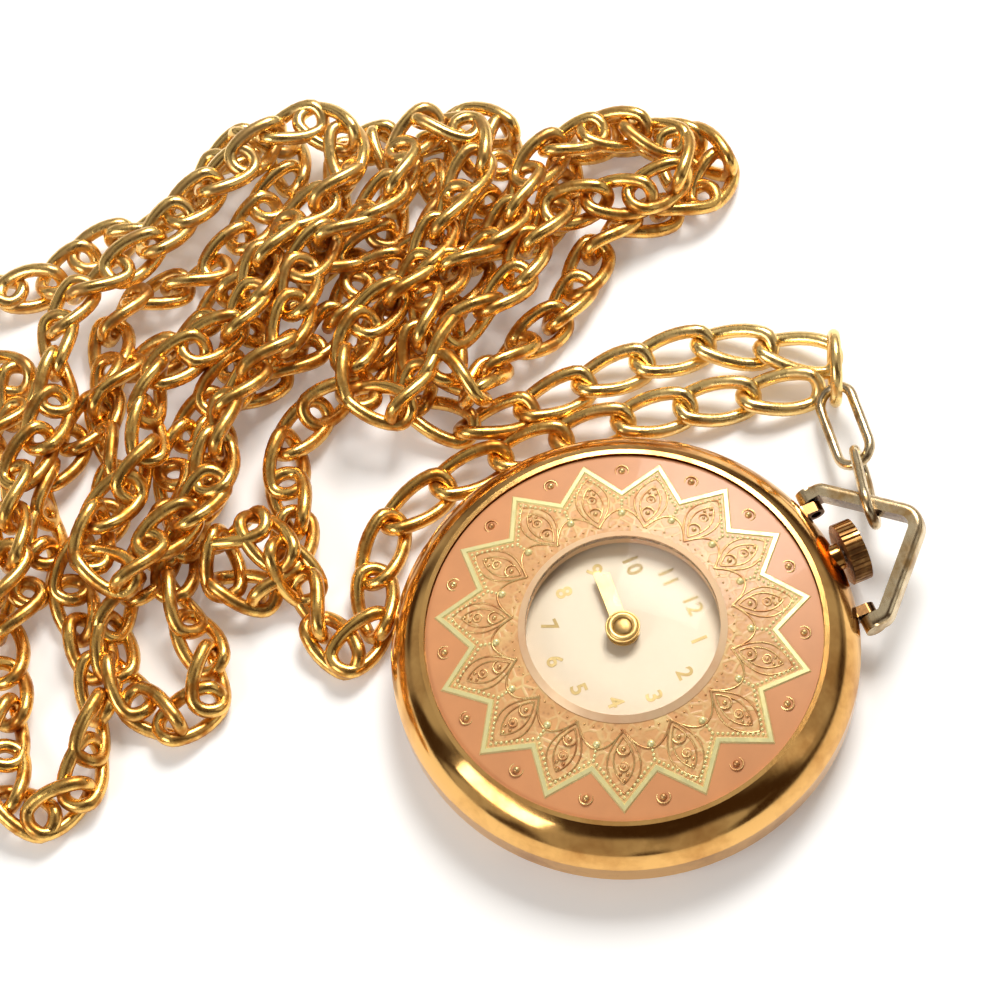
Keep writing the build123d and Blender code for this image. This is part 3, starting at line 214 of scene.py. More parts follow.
camera = {
    "place": (68.472, -22.716, 169.726),
    "right": (0.37871438, 0.92224275, -0.07774146),  # this and the next two are the camera's own axes
    "up": (-0.81572909, 0.37229302, 0.44270076),
    "back": (0.43722017, -0.10424118, 0.89329295),
    "lens": 102.01,
    "sensor": 36,
    "clip": (0.001, 10),
}


def setCamera():
    data = bpy.data.cameras.new("camera")
    data.lens = camera["lens"]
    data.sensor_width = camera["sensor"]
    data.sensor_fit = "HORIZONTAL"
    data.clip_start, data.clip_end = camera["clip"]
    view = addObject("camera", data)
    turn = Matrix([camera["right"], camera["up"], camera["back"]]).transposed()
    view.matrix_world = Matrix.Translation(scaled(camera["place"])) @ turn.to_4x4()
    bpy.context.scene.camera = view


sky = {
    "light": (1.0, 0.97, 0.92),
    "dark": (0.10, 0.055, 0.025),
    "strength": 0.5,
    "patchScale": 1.9,
    "patchDetail": 1,
    "patchEdge": (0.42, 0.56),
    "shadeToward": (0.30, 0.20, 0.93),  # direction of a dark patch overhead
    "shadeAngles": (30, 12),  # degrees, from where it begins to where it is full
    "shadeDepth": 0.85,
}

lamps = {
    "keyLight": {"place": (-150, 120, 240), "target": (-10, 0, 0), "size": (130, 130), "energy": 0.92,
                 "color": (1, 0.98, 0.94)},
    "fillLight": {"place": (60, -230, 160), "target": (-10, 0, 0), "size": (160, 100), "energy": 0.28,
                  "color": (1, 1, 1)},
    "stripLight": {"place": (120, 150, 150), "target": (0, 0, 0), "size": (40, 160), "energy": 0.008,
                   "color": (1, 1, 1)},
}


def areaLight(name, look):
    data = bpy.data.lights.new(name, "AREA")
    data.shape = "RECTANGLE"
    data.size = look["size"][0] * mm
    data.size_y = look["size"][1] * mm
    data.energy = look["energy"]
    data.color = look["color"]
    lamp = addObject(name, data)
    lamp.location = scaled(look["place"])
    aim = scaled(look["target"]) - scaled(look["place"])
    lamp.rotation_euler = aim.to_track_quat("-Z", "Y").to_euler()


def setLights():
    # The sky has bright and dark patches for the metal to reflect
    world = bpy.data.worlds.new("world")
    bpy.context.scene.world = world
    world.use_nodes = True
    tree = world.node_tree
    direction = tree.nodes.new("ShaderNodeTexCoord").outputs["Generated"]
    patches = noiseNode(tree, direction, sky["patchScale"], sky["patchDetail"])
    patched = mixNode(tree, rampNode(tree, patches, *sky["patchEdge"]), sky["dark"], sky["light"])
    facing = vectorNode(tree, "DOT_PRODUCT", direction, Vector(sky["shadeToward"]).normalized())
    edge = [math.cos(math.radians(angle)) for angle in sky["shadeAngles"]]
    shade = rampNode(tree, facing, *edge, top=sky["shadeDepth"], smooth=True)
    background = tree.nodes["Background"]
    tree.links.new(mixNode(tree, shade, patched, sky["dark"]), background.inputs["Color"])
    background.inputs["Strength"].default_value = sky["strength"]
    for name, look in lamps.items():
        areaLight(name, look)


floor = {
    "size": 1200,
    "color": (0.95, 0.95, 0.95),
    "roughness": 0.8,
    "glow": 0.16,
    "glowColor": (1, 0.99, 0.97),
}


def makeFloor():
    half = floor["size"] * mm / 2
    corners = [(-half, -half, 0), (half, -half, 0), (half, half, 0), (-half, half, 0)]
    plane = newMesh("floor", (corners, [(0, 1, 2, 3)]))
    material, tree, shader = newMaterial("floor")
    feedAll(tree, shader, {"Base Color": floor["color"], "Roughness": floor["roughness"],
                           "Emission Color": floor["glowColor"], "Emission Strength": floor["glow"]})
    plane.data.materials.append(material)


# A metal takes from finish what its own line leaves out
finish = {"grain": 180, "bump": 0.004, "metallic": 1}

metals = {
    "polishedGold": {"color": (0.80, 0.46, 0.15), "stain": (0.50, 0.23, 0.06), "roughness": 0.12},
    "crownGold": {"color": (0.66, 0.36, 0.12), "stain": (0.26, 0.12, 0.04), "roughness": 0.24, "grain": 600},
    "chainGold": {"color": (0.95, 0.58, 0.16), "stain": (0.46, 0.18, 0.03), "roughness": 0.25, "grain": 700,
                  "bump": 0.03},
    "wornGold": {"color": (0.74, 0.60, 0.38), "stain": (0.36, 0.22, 0.09), "roughness": 0.24, "grain": 500,
                 "bump": 0.02},
    "starGold": {"color": (0.84, 0.77, 0.38), "stain": (0.76, 0.66, 0.30), "roughness": 0.34, "grain": 900,
                 "metallic": 0.45},
    "laceGold": {"color": (0.76, 0.52, 0.22), "stain": (0.50, 0.22, 0.08), "roughness": 0.30, "grain": 900,
                 "metallic": 0.7},
    "rimCopper": {"color": (0.86, 0.60, 0.36), "stain": (0.74, 0.46, 0.26), "roughness": 0.42,
                  "metallic": 0.3},
    "numeralGold": {"color": (0.52, 0.38, 0.14), "stain": (0.44, 0.31, 0.11), "roughness": 0.45,
                    "metallic": 0.2},
    "handGold": {"color": (0.70, 0.49, 0.19), "stain": (0.54, 0.34, 0.10), "roughness": 0.34,
                 "metallic": 0.6},
    "hubBronze": {"color": (0.34, 0.22, 0.08), "stain": (0.22, 0.13, 0.05), "roughness": 0.35},
    "plateBrass": {"color": (0.72, 0.60, 0.36), "stain": (0.64, 0.52, 0.29), "roughness": 0.34, "grain": 900,
                   "bump": 0.006},
    "wheelBrass": {"color": (0.78, 0.58, 0.24), "stain": (0.55, 0.36, 0.10), "roughness": 0.24, "grain": 600},
    "steel": {"color": (0.60, 0.60, 0.62), "stain": (0.38, 0.38, 0.40), "roughness": 0.22, "grain": 500},
    "bluedSteel": {"color": (0.10, 0.16, 0.42), "stain": (0.05, 0.07, 0.22), "roughness": 0.25, "grain": 500},
}

wear = {
    "stainDetail": 5,
    "stainRoughness": 0.6,
    "stainEdge": (0.36, 0.56),  # full stain below, none above
    "stainScuff": 0.6,  # how much rougher a stain is
    "scratchStretch": (900, 5200, 2600),
    "scratchTurn": (0.4, 0.2, 0.9),
    "scratchDetail": 3,
    "scratchScuff": 0.6,
    "scratchDepth": 0.25,
    "cleanest": 0.9,
    "least": 0.7,
}


def wearGroup():
    # Soft stains, fine scratches and a shallow unevenness, shared by every metal
    group = bpy.data.node_groups.new("metalWear", "ShaderNodeTree")
    for name, kind in (("Color", "Color"), ("Stain", "Color"), ("Roughness", "Float"), ("Scale", "Float")):
        group.interface.new_socket(name=name, socket_type="NodeSocket" + kind, in_out="INPUT")
    for name, kind in (("Color", "Color"), ("Roughness", "Float"), ("Height", "Float")):
        group.interface.new_socket(name=name, socket_type="NodeSocket" + kind, in_out="OUTPUT")
    given = group.nodes.new("NodeGroupInput").outputs
    result = group.nodes.new("NodeGroupOutput")
    point = objectPoint(group)
    stains = noiseNode(group, point, given["Scale"], wear["stainDetail"], wear["stainRoughness"])
    mask = rampNode(group, stains, *wear["stainEdge"])
    stretch = group.nodes.new("ShaderNodeMapping")
    feedAll(group, stretch, {"Vector": point, "Scale": wear["scratchStretch"],
                             "Rotation": wear["scratchTurn"]})
    scratches = noiseNode(group, stretch.outputs["Vector"], 1, wear["scratchDetail"])
    stained = mathNode(group, "SUBTRACT", wear["cleanest"], mask)
    uneven = mathNode(group, "MULTIPLY", stained, wear["stainScuff"])
    scuffed = mathNode(group, "ADD", mathNode(group, "MULTIPLY", scratches, wear["scratchScuff"]), uneven)
    share = mathNode(group, "ADD", wear["least"], scuffed)
    scored = mathNode(group, "MULTIPLY", scratches, wear["scratchDepth"])
    feedAll(group, result, {
        "Color": mixNode(group, mask, given["Stain"], given["Color"]),
        "Roughness": mathNode(group, "MULTIPLY", given["Roughness"], share),
        "Height": mathNode(group, "ADD", stains, scored),
    })
    return group


def metalMaterial(name, metal=None):
    look = {**finish, **metals[metal or name]}
    material, tree, shader = newMaterial(name)
    worn = tree.nodes.new("ShaderNodeGroup")
    worn.node_tree = metalWear
    feedAll(tree, worn, {"Color": look["color"], "Stain": look["stain"], "Roughness": look["roughness"],
                         "Scale": look["grain"]})
    feedAll(tree, shader, {"Base Color": worn.outputs["Color"], "Roughness": worn.outputs["Roughness"],
                           "Normal": bumpNode(tree, worn.outputs["Height"], look["bump"]),
                           "Metallic": look["metallic"]})
    return material


def tinted(material, mask, color):
    # Lays another color over the metal's own where the mask is high
    tree = material.node_tree
    entry = tree.nodes["Principled BSDF"].inputs["Base Color"]
    tree.links.new(mixNode(tree, mask, entry.links[0].from_socket, color), entry)
    return material


# Painted shade for the faces that look into the bow: its middle, how far a face turns inward, how dark, its
# colour
innerShade = {"middle": (0, 17.2, 3.6), "facing": (0.35, 0.6), "depth": 0.85, "color": (0.10, 0.045, 0.02)}


def bowMaterial():
    # Worn gold with painted shade on the faces that look into the bow
    material = metalMaterial("bowGold", "wornGold")
    tree = material.node_tree
    coordinates = tree.nodes.new("ShaderNodeTexCoord").outputs
    inward = vectorNode(tree, "SUBTRACT", scaled(innerShade["middle"]), coordinates["Object"])
    facing = vectorNode(tree, "DOT_PRODUCT", vectorNode(tree, "NORMALIZE", inward), coordinates["Normal"])
    mask = rampNode(tree, facing, *innerShade["facing"], top=innerShade["depth"])
    return tinted(material, mask, innerShade["color"])


# Painted shade where each lug of the bow leaves the case wall
lugShade = {"apart": 3.955, "half": 0.4, "wall": 14.4, "color": (0.16, 0.08, 0.03)}


def caseMaterial():
    # Painted shade makes each lug of the bow outside the case wall dark brown
    material = metalMaterial("caseGold", "polishedGold")
    tree = material.node_tree
    place = splitPoint(tree, objectPoint(tree))
    fromLug = mathNode(tree, "SUBTRACT", mathNode(tree, "ABSOLUTE", place["X"]), lugShade["apart"] * mm)
    across = mathNode(tree, "LESS_THAN", mathNode(tree, "ABSOLUTE", fromLug), lugShade["half"] * mm)
    outward = mathNode(tree, "GREATER_THAN", place["Y"], lugShade["wall"] * mm)
    return tinted(material, mathNode(tree, "MULTIPLY", across, outward), lugShade["color"])


# Painted light on the chain: a paler gold laid over the strands by the watch and the far side of the heap
paintedLight = {
    "color": (1.0, 0.77, 0.34),
    "x": (-24, -20.5),  # fades in from the first to the second
    "y": (1, 10),
    "share": 0.6,
    "far": (-32, -46),  # the same along x, on the far side
    "farShare": 0.4,
}


def chainMaterial():
    # Painted light: the two strands by the watch and the far side of the heap are painted paler than the rest
    material = metalMaterial("chainGold")
    tree = material.node_tree
    place = splitPoint(tree, objectPoint(tree))
    ramps = []
    for axis, (low, high) in (("X", paintedLight["x"]), ("Y", paintedLight["y"]), ("X", paintedLight["far"])):
        ramps.append(rampNode(tree, place[axis], low * mm, high * mm))
    near = mathNode(tree, "MULTIPLY", mathNode(tree, "MULTIPLY", ramps[0], ramps[1]), paintedLight["share"])
    mask = mathNode(tree, "MAXIMUM", near, mathNode(tree, "MULTIPLY", ramps[2], paintedLight["farShare"]))
    return tinted(material, mask, paintedLight["color"])


ruby = {"color": (0.45, 0.01, 0.04), "roughness": 0.08}


def rubyMaterial():
    material, tree, shader = newMaterial("ruby")
    feedAll(tree, shader, {"Base Color": ruby["color"], "Roughness": ruby["roughness"]})
    return material


# Enamelled plate with its star
plate = {
    "radius": 12.6,
    "opening": 6.4,
    "edgeTop": 5.45,
    "rise": 1.2,
    "seat": 0.01,  # how deep beads sit
    "field": (0.64, 0.33, 0.13),
    "filigree": (0.78, 0.56, 0.24),
    "pit": (0.42, 0.20, 0.08),
    "edge": (0.60, 0.26, 0.105),
    "roughness": 0.42,
    "coat": 0.12,
    "cloudScale": 420,
    "cloudDetail": 4,
    "cloudEdge": (0.35, 0.65),
    "cloudLift": 1.15,
    "edgeLift": 1.1,
    "stipple": 2600,  # pits to a metre
    "pitEdge": (0.34, 0.12),
    "pitDepth": 0.55,
    "pitHeight": 0.6,
    "netScale": 1350,
    "netEdge": (0.144, 0.054),  # how wide the threads of the net are, soft and full
    "netShare": 0.85,
    "bump": 0.05,
    "bumpStrength": 0.7,
}

star = {
    "rays": 15,
    "turn": -23.0,  # degrees
    "crowding": 4.5,  # degrees that rays shift by on the crowded side
    "crowdedSide": 68,
    "tip": 11.8,
    "notch": 9.55,
    "width": 0.43,
    "relief": 0.11,
    "crown": 0.55,  # share of the band that is flat on top
    "sink": 0.02,
    "steps": 8,
    "dotInset": 0.42,
    "dotSpacing": 0.32,
    "dotRadius": 0.12,
    "beadPlace": 11.35,
    "beadRadius": 0.24,
    "collarRadius": 0.42,
    "collarWire": 0.06,
    "collarSteps": 20,
    "collarAround": 6,
    "stalk": ((9.0, 0.13), (8.72, 0.12), (8.44, 0.11), (8.02, 0.26)),  # place and radius of each bead
    "stalkHeight": 0.9,
    "dotSteps": (8, 2),  # around a bead and up it
    "stalkSteps": (12, 3),
    "beadSteps": (14, 4),
}


def lifted(color, share):
    return tuple(min(1, part * share) for part in color)


def insideStar(tree, point):
    # 1 within the zigzag, worked out as rayAngle and starCorners do
    place = splitPoint(tree, point)
    angle = mathNode(tree, "ARCTAN2", place["Y"], place["X"])
    step = math.pi / star["rays"]
    fromSide = mathNode(tree, "COSINE", mathNode(tree, "SUBTRACT", angle, math.radians(star["crowdedSide"])))
    nearness = mathNode(tree, "POWER", mathNode(tree, "MAXIMUM", fromSide, 0), 2)
    crowding = mathNode(tree, "MULTIPLY", nearness, math.radians(star["crowding"]))
    turned = mathNode(tree, "ADD", angle, 2 * math.pi - math.radians(star["turn"]))
    zigzag = mathNode(tree, "PINGPONG", mathNode(tree, "SUBTRACT", turned, crowding), step)
    fall = mathNode(tree, "MULTIPLY", zigzag, (star["tip"] - star["notch"]) * mm / step)
    edge = mathNode(tree, "SUBTRACT", star["tip"] * mm, fall)
    return mathNode(tree, "GREATER_THAN", edge, flatRadius(tree, point))


def enamelMaterial():
    # Salmon enamel, lighter and stippled inside the star
    material, tree, shader = newMaterial("enamel")
    point = objectPoint(tree)
    inside = insideStar(tree, point)
    clouds = noiseNode(tree, point, plate["cloudScale"], plate["cloudDetail"])
    clouds = rampNode(tree, clouds, *plate["cloudEdge"])
    ground = mixNode(tree, clouds, plate["field"], lifted(plate["field"], plate["cloudLift"]))
    pits = cellNode(tree, point, plate["stipple"])
    pitMask = rampNode(tree, pits, *plate["pitEdge"], top=plate["pitDepth"])
    pitted = mixNode(tree, pitMask, ground, plate["pit"])
    net = rampNode(tree, cellNode(tree, point, plate["netScale"], "DISTANCE_TO_EDGE"), *plate["netEdge"])
    netHere = mathNode(tree, "MULTIPLY", net, mathNode(tree, "MULTIPLY", clouds, plate["netShare"]))
    field = mixNode(tree, netHere, pitted, plate["filigree"])
    outside = mixNode(tree, clouds, plate["edge"], lifted(plate["edge"], plate["edgeLift"]))
    raised = mathNode(tree, "ADD", netHere, mathNode(tree, "MULTIPLY", pits, plate["pitHeight"]))
    height = mathNode(tree, "MULTIPLY", raised, inside)
    feedAll(tree, shader, {"Base Color": mixNode(tree, inside, outside, field),
                           "Normal": bumpNode(tree, height, plate["bump"], plate["bumpStrength"]),
                           "Roughness": plate["roughness"], "Coat Weight": plate["coat"]})
    return material


def plateHeight(radius):
    share = (plate["radius"] - radius) / (plate["radius"] - plate["opening"])
    return plate["edgeTop"] + plate["rise"] * share


def onPlate(radius, degrees, lift=0.0):
    turn = math.radians(degrees)
    return Vector((radius * math.cos(turn), radius * math.sin(turn), plateHeight(radius) + lift)) * mm


def onPlateFlat(point, lift=0.0):
    return Vector((point.x, point.y, plateHeight(point.length) + lift)) * mm


def rayAngle(number):
    # The rays crowd together a little on one side, as they do on the stamped plate
    angle = star["turn"] + number * 360 / star["rays"]
    nearness = max(0, math.cos(math.radians(angle - star["crowdedSide"])))
    return angle + star["crowding"] * nearness ** 2


def starCorners():
    corners = []
    for number in range(star["rays"]):
        for radius, part in ((star["tip"], 0), (star["notch"], 0.5)):
            turn = math.radians(rayAngle(number + part))
            corners.append(Vector((radius * math.cos(turn), radius * math.sin(turn))))
    return corners


def offsetCorners(corners, inset):
    sharpest = 0.2  # keeps a sharp corner from running far out
    count = len(corners)
    moved = []
    for number, corner in enumerate(corners):
        before = (corner - corners[number - 1]).normalized()
        after = (corners[(number + 1) % count] - corner).normalized()
        normalBefore = Vector((-before.y, before.x))
        normalAfter = Vector((-after.y, after.x))
        mitre = (normalBefore + normalAfter).normalized()
        moved.append(corner + mitre * inset / max(sharpest, mitre.dot(normalBefore)))
    return moved


def makeStar(material):
    # A flat-topped zigzag band round the plate
    half = star["width"] / 2
    profile = ((-half, -star["sink"]), (-half * star["crown"], star["relief"]),
               (half * star["crown"], star["relief"]), (half, -star["sink"]))
    vertices = []
    for inset, lift in profile:
        corners = offsetCorners(starCorners(), inset)
        for corner, following in zip(corners, corners[1:] + corners[:1]):
            for step in range(star["steps"]):
                vertices.append(onPlateFlat(corner.lerp(following, step / star["steps"]), lift))
    count = len(vertices) // len(profile)
    faces = []
    for row in range(len(profile) - 1):
        low = row * count
        for number in range(count):
            following = (number + 1) % count
            faces.append((low + number, low + following, low + count + following, low + count + number))
    band = newMesh("plate_star", (vertices, faces), smooth=False)
    fasten(band, material, "watch")


def makeBeads(material, collarMaterial):
    # Milgrain and a stalk of beads inside the star, and a ringed bead in every outer notch
    shape = ([], [])
    corners = offsetCorners(starCorners(), star["dotInset"])
    for corner, following in zip(corners, corners[1:] + corners[:1]):
        dots = max(2, round((following - corner).length / star["dotSpacing"]))
        for step in range(dots):
            place = onPlateFlat(corner.lerp(following, step / dots), -plate["seat"])
            addDome(place, star["dotRadius"] * mm, star["dotRadius"] * mm, shape, star["dotSteps"])
    for number in range(star["rays"]):
        for radius, size in star["stalk"]:
            place = onPlate(radius, rayAngle(number + 0.5), -plate["seat"])
            addDome(place, size * mm, size * mm * star["stalkHeight"], shape, star["stalkSteps"])
    fasten(newMesh("plate_beads", shape), material, "watch")
    shape = ([], [])
    for number in range(star["rays"]):
        middle = onPlate(star["beadPlace"], rayAngle(number + 0.5), -plate["seat"])
        addDome(middle, star["beadRadius"] * mm, star["beadRadius"] * mm, shape, star["beadSteps"])
        collar = circleLine(middle, star["collarRadius"] * mm, star["collarSteps"])
        sweepLine(collar, star["collarWire"] * mm, star["collarAround"], shape)
    fasten(newMesh("plate_collars", shape), collarMaterial, "watch")


lace = {
    "wire": 0.06,
    "archWire": 0.072,
    "around": 6,
    "lift": 0.01,
    "leafLow": 7.1,
    "leafHigh": 10.9,
    "leafHalf": 6.6,
    "leafRound": 0.8,
    "leafSteps": 14,
    "innerLeaf": 0.62,
    "innerLow": 0.9,
    "innerHigh": 1.6,
    "archLow": 7.0,
    "archHigh": 8.3,
    "archSteps": 12,
    "rings": ((8.15, 0.42), (9.25, 0.28)),  # place and radius
    "ringSteps": 18,
    "ringStud": (0.4, 0.35),  # radius and height, as shares of the ring
    "trefoil": ((10.1, 0.0, 0.15), (9.72, 1.3, 0.12), (9.72, -1.3, 0.12)),
    "pearls": 75,
    "pearlPlace": 6.98,
    "pearlRadius": 0.08,
    "studSteps": (10, 3),
    "pearlSteps": (8, 2),
}


def leafLine(middle, side, size):
    low = lace["leafLow"] + (1 - size) * lace["innerLow"]
    high = lace["leafHigh"] - (1 - size) * lace["innerHigh"]
    points = []
    for count in range(lace["leafSteps"] + 1):
        share = count / lace["leafSteps"]
        spread = side * lace["leafHalf"] * size * math.sin(math.pi * share) ** lace["leafRound"]
        points.append(onPlate(low + (high - low) * share, middle + spread, lace["lift"]))
    return points


def archLine(number, side):
    points = []
    for count in range(lace["archSteps"] + 1):
        share = count / lace["archSteps"]
        radius = lace["archLow"] + (lace["archHigh"] - lace["archLow"]) * math.sin(math.pi / 2 * share)
        points.append(onPlate(radius, rayAngle(number + side * share / 2), lace["lift"]))
    return points


def makeLace(material):
    # Traditional leaf and arch tracery between the star and the opening
    shape = ([], [])
    wire = lace["wire"] * mm
    for number in range(star["rays"]):
        middle = rayAngle(number)
        for side in (-1, 1):
            for size in (1.0, lace["innerLeaf"]):
                sweepLine(leafLine(middle, side, size), wire, lace["around"], shape, closed=False)
            sweepLine(archLine(number, side), lace["archWire"] * mm, lace["around"], shape, closed=False)
        for radius, size in lace["rings"]:
            centre = onPlate(radius, middle, lace["lift"])
            sweepLine(circleLine(centre, size * mm, lace["ringSteps"]), wire, lace["around"], shape)
            wide, high = lace["ringStud"]
            addDome(centre, size * wide * mm, size * high * mm, shape, lace["studSteps"])
        for radius, turn, size in lace["trefoil"]:
            place = onPlate(radius, middle + turn, -plate["seat"])
            addDome(place, size * mm, size * mm, shape, lace["studSteps"])
    for number in range(lace["pearls"]):
        place = onPlate(lace["pearlPlace"], number * 360 / lace["pearls"], -plate["seat"])
        addDome(place, lace["pearlRadius"] * mm, lace["pearlRadius"] * mm, shape, lace["pearlSteps"])
    fasten(newMesh("plate_lace", shape), material, "watch")


dial = {
    "top": 5.45,
    "color": (0.73, 0.62, 0.46),
    "edge": (0.72, 0.57, 0.38),
    "edgePlace": (4.6, 6.6),
    "roughness": 0.35,
    "sheenScale": 240,
    "sheenDetail": 3,
    "numeralPlace": 4.75,
    "numeralSize": 1.45,
    "numeralWeight": 0.035,
    "numeralDepth": 0.02,
    "numeralSteps": 4,
}


def dialMaterial():
    material, tree, shader = newMaterial("dialPaint")
    point = objectPoint(tree)
    low, high = dial["edgePlace"]
    rim = rampNode(tree, flatRadius(tree, point), low * mm, high * mm)
    soft = mathNode(tree, "MULTIPLY", rim, noiseNode(tree, point, dial["sheenScale"], dial["sheenDetail"]))
    feedAll(tree, shader, {"Base Color": mixNode(tree, soft, dial["color"], dial["edge"]),
                           "Roughness": dial["roughness"]})
    return material


def numeralMesh(hour):
    curve = bpy.data.curves.new("numeral", "FONT")
    curve.body = str(hour)
    curve.size = dial["numeralSize"] * mm
    curve.extrude = dial["numeralDepth"] * mm / 2
    curve.offset = dial["numeralWeight"] * mm
    curve.align_x = "CENTER"
    curve.align_y = "CENTER"
    curve.resolution_u = dial["numeralSteps"]
    return takenMesh(curve)


def makeNumerals(material):
    vertices, faces = [], []
    for hour in range(1, 13):
        points, parts = numeralMesh(hour)
        angle = math.radians(90 - hour * 30)
        centre = Vector((math.cos(angle), math.sin(angle), 0)) * dial["numeralPlace"] * mm
        centre.z = (dial["top"] + dial["numeralDepth"] / 2) * mm
        start = len(vertices)
        vertices.extend([point + centre for point in points])
        faces.extend([tuple(start + index for index in part) for part in parts])
    fasten(newMesh("dial_numerals", (vertices, faces), smooth=False), material, "watch")


crystal = {
    "tint": (1.0, 1.0, 0.99),
    "roughness": (0.01, 0.04),
    "ior": 1.1,
    "smudgeScale": 300,
    "smudgeDetail": 2,
}


def crystalMaterial():
    # Shadow and diffuse rays pass straight through, so that the dial stays lit
    material, tree, shader = newMaterial("crystal")
    smudges = noiseNode(tree, objectPoint(tree), crystal["smudgeScale"], crystal["smudgeDetail"])
    smear = rampNode(tree, smudges, 0, 1, *crystal["roughness"])
    feedAll(tree, shader, {"Base Color": crystal["tint"], "Roughness": smear, "IOR": crystal["ior"],
                           "Transmission Weight": 1})
    clear = tree.nodes.new("ShaderNodeBsdfTransparent")
    path = tree.nodes.new("ShaderNodeLightPath").outputs
    mix = tree.nodes.new("ShaderNodeMixShader")
    passing = mathNode(tree, "MAXIMUM", path["Is Shadow Ray"], path["Is Diffuse Ray"])
    for entry, output in zip(mix.inputs, (passing, shader.outputs[0], clear.outputs[0])):
        tree.links.new(output, entry)
    tree.links.new(mix.outputs[0], tree.nodes["Material Output"].inputs["Surface"])
    return material


boss = {
    "top": 6.42,
    "rings": ((0.8, 0.4), (1.04, 0.12)),  # radius and thickness
    "steps": 40,
    "around": 10,
    "capRadius": 0.62,
    "capRise": 0.16,
    "capSteps": (24, 5),
}


def makeBoss(material, capMaterial):
    # A turned ring and a dark cap on the hub of the hands
    middle = scaled((0, 0, boss["top"]))
    shape = ([], [])
    for radius, wire in boss["rings"]:
        sweepLine(circleLine(middle, radius * mm, boss["steps"]), wire * mm / 2, boss["around"], shape)
    fasten(newMesh("hand_boss", shape), material, "minute")
    shape = ([], [])
    addDome(middle, boss["capRadius"] * mm, boss["capRise"] * mm, shape, boss["capSteps"])
    fasten(newMesh("hand_cap", shape), capMaterial, "minute")


# Which material each node of the CAD gets; the rest are steel
painted = {
    "polishedGold": ("case_back", "crown_tube"),
    "caseGold": ("case_body",),
    "crownGold": ("crown",),
    "bowGold": ("bow",),
    "handGold": ("hour_hand", "minute_hand"),
    "rimCopper": ("crystal_rim",),
    "plateBrass": ("mainplate", "barrel_bridge", "train_bridge", "balance_cock", "pallet_bridge",
                   "movement_ring"),
    "wheelBrass": ("centre_wheel", "third_wheel", "fourth_wheel", "barrel", "barrel_cover", "minute_wheel",
                   "hour_wheel", "cannon_pinion", "balance_wheel"),
    "bluedSteel": ("mainspring", "hairspring"),
    "ruby": ("jewels",),
    "enamel": ("enamel_plate",),
    "dialPaint": ("dial",),
    "crystal": ("crystal",),
}

softEdge = {"node": "bow", "width": 0.12, "segments": 3, "angle": 35}


def paint(node, material):
    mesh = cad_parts[node].data
    mesh.materials.clear()
    mesh.materials.append(material)


def paintNodes(materials):
    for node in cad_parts:
        paint(node, materials["steel"])
    for name, nodes in painted.items():
        for node in nodes:
            paint(node, materials[name])


def soften():
    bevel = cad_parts[softEdge["node"]].modifiers.new("softEdges", "BEVEL")
    bevel.width = softEdge["width"] * mm
    bevel.segments = softEdge["segments"]
    bevel.limit_method = "ANGLE"
    bevel.angle_limit = math.radians(softEdge["angle"])


# Round-wire links between the bow and the chain
links = {
    "wire": 0.7,
    "thick": {"bow_link": 0.7, "end_link": 0.7, "jump_ring": 0.8},
    "along": 48,
    "around": 14,
    "bowLink": {"start": (-2.571, 18.386, 3.767), "toward": (-7.0, 19.75, 1.9), "slack": 0.22,
                "length": 7.0, "width": 3.3, "roll": 74},
    "endLink": {"length": 6.9, "width": 3.1, "roll": -28, "gap": 0.15},
    "jumpRing": {"place": (-13.1, 20.95, 2.6), "radius": 2.25, "turn": 67.7, "dip": 20, "along": 40},
}


def ovalLine(length, width, wire, count):
    bend = (width - wire) / 2
    reach = (length - width) / 2
    straight = 2 * reach
    arc = math.pi * bend
    points = []
    for step in range(count):
        run = 2 * (straight + arc) * step / count
        way = 1
        if run >= straight + arc:
            run -= straight + arc
            way = -1
        if run < straight:
            point = Vector((-reach + run, -bend, 0))
        else:
            turn = (run - straight) / bend - math.pi / 2
            point = Vector((reach + bend * math.cos(turn), bend * math.sin(turn), 0))
        points.append(point * way)
    return points


def makeLink(name, start, along, look, material, body):
    side = along.cross(Vector((0, 0, 1))).normalized()
    lift = side.cross(along)
    roll = Matrix.Rotation(math.radians(look["roll"]), 3, along)
    across = roll @ lift.cross(along)
    lift = roll @ lift
    middle = start + along * (look["length"] - look["width"]) / 2
    oval = ovalLine(look["length"], look["width"], links["wire"], links["along"])
    points = [(middle + along * point.x + across * point.y) * mm for point in oval]
    shape = ([], [])
    sweepLine(points, links["thick"][name] * mm / 2, links["around"], shape, lift=lift)
    piece = newMesh(name + "_wire", shape)
    fasten(piece, material, body)
    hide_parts(name)
    return start + along * (look["length"] - look["width"])


def makeLinks(material, ringMaterial):
    look = links["bowLink"]
    hook = Vector(look["start"])
    along = (Vector(look["toward"]) - hook).normalized()
    far = makeLink("bow_link", hook - along * look["slack"], along, look, material, "bow_link")
    ring = links["jumpRing"]
    centre = Vector(ring["place"])
    turn = math.radians(ring["turn"])
    normal = Vector((math.cos(turn), math.sin(turn), 0))
    side = Vector((math.sin(turn), -math.cos(turn), 0))
    upward = Vector((0, 0, 1))
    dip = math.radians(ring["dip"])
    near = centre + (side * math.cos(dip) - upward * math.sin(dip)) * ring["radius"]
    along = (near - far).normalized()
    endLook = links["endLink"]
    step = (look["width"] + endLook["width"]) / 2 - 2 * links["wire"] - endLook["gap"]
    makeLink("end_link", far + along * step, along, endLook, material, "watch")
    circle = circleLine(centre * mm, ring["radius"] * mm, ring["along"], side, upward)
    shape = ([], [])
    sweepLine(circle, links["thick"]["jump_ring"] * mm / 2, links["around"], shape, lift=normal)
    piece = newMesh("jump_ring_wire", shape)
    fasten(piece, ringMaterial, "watch")
    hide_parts("jump_ring")


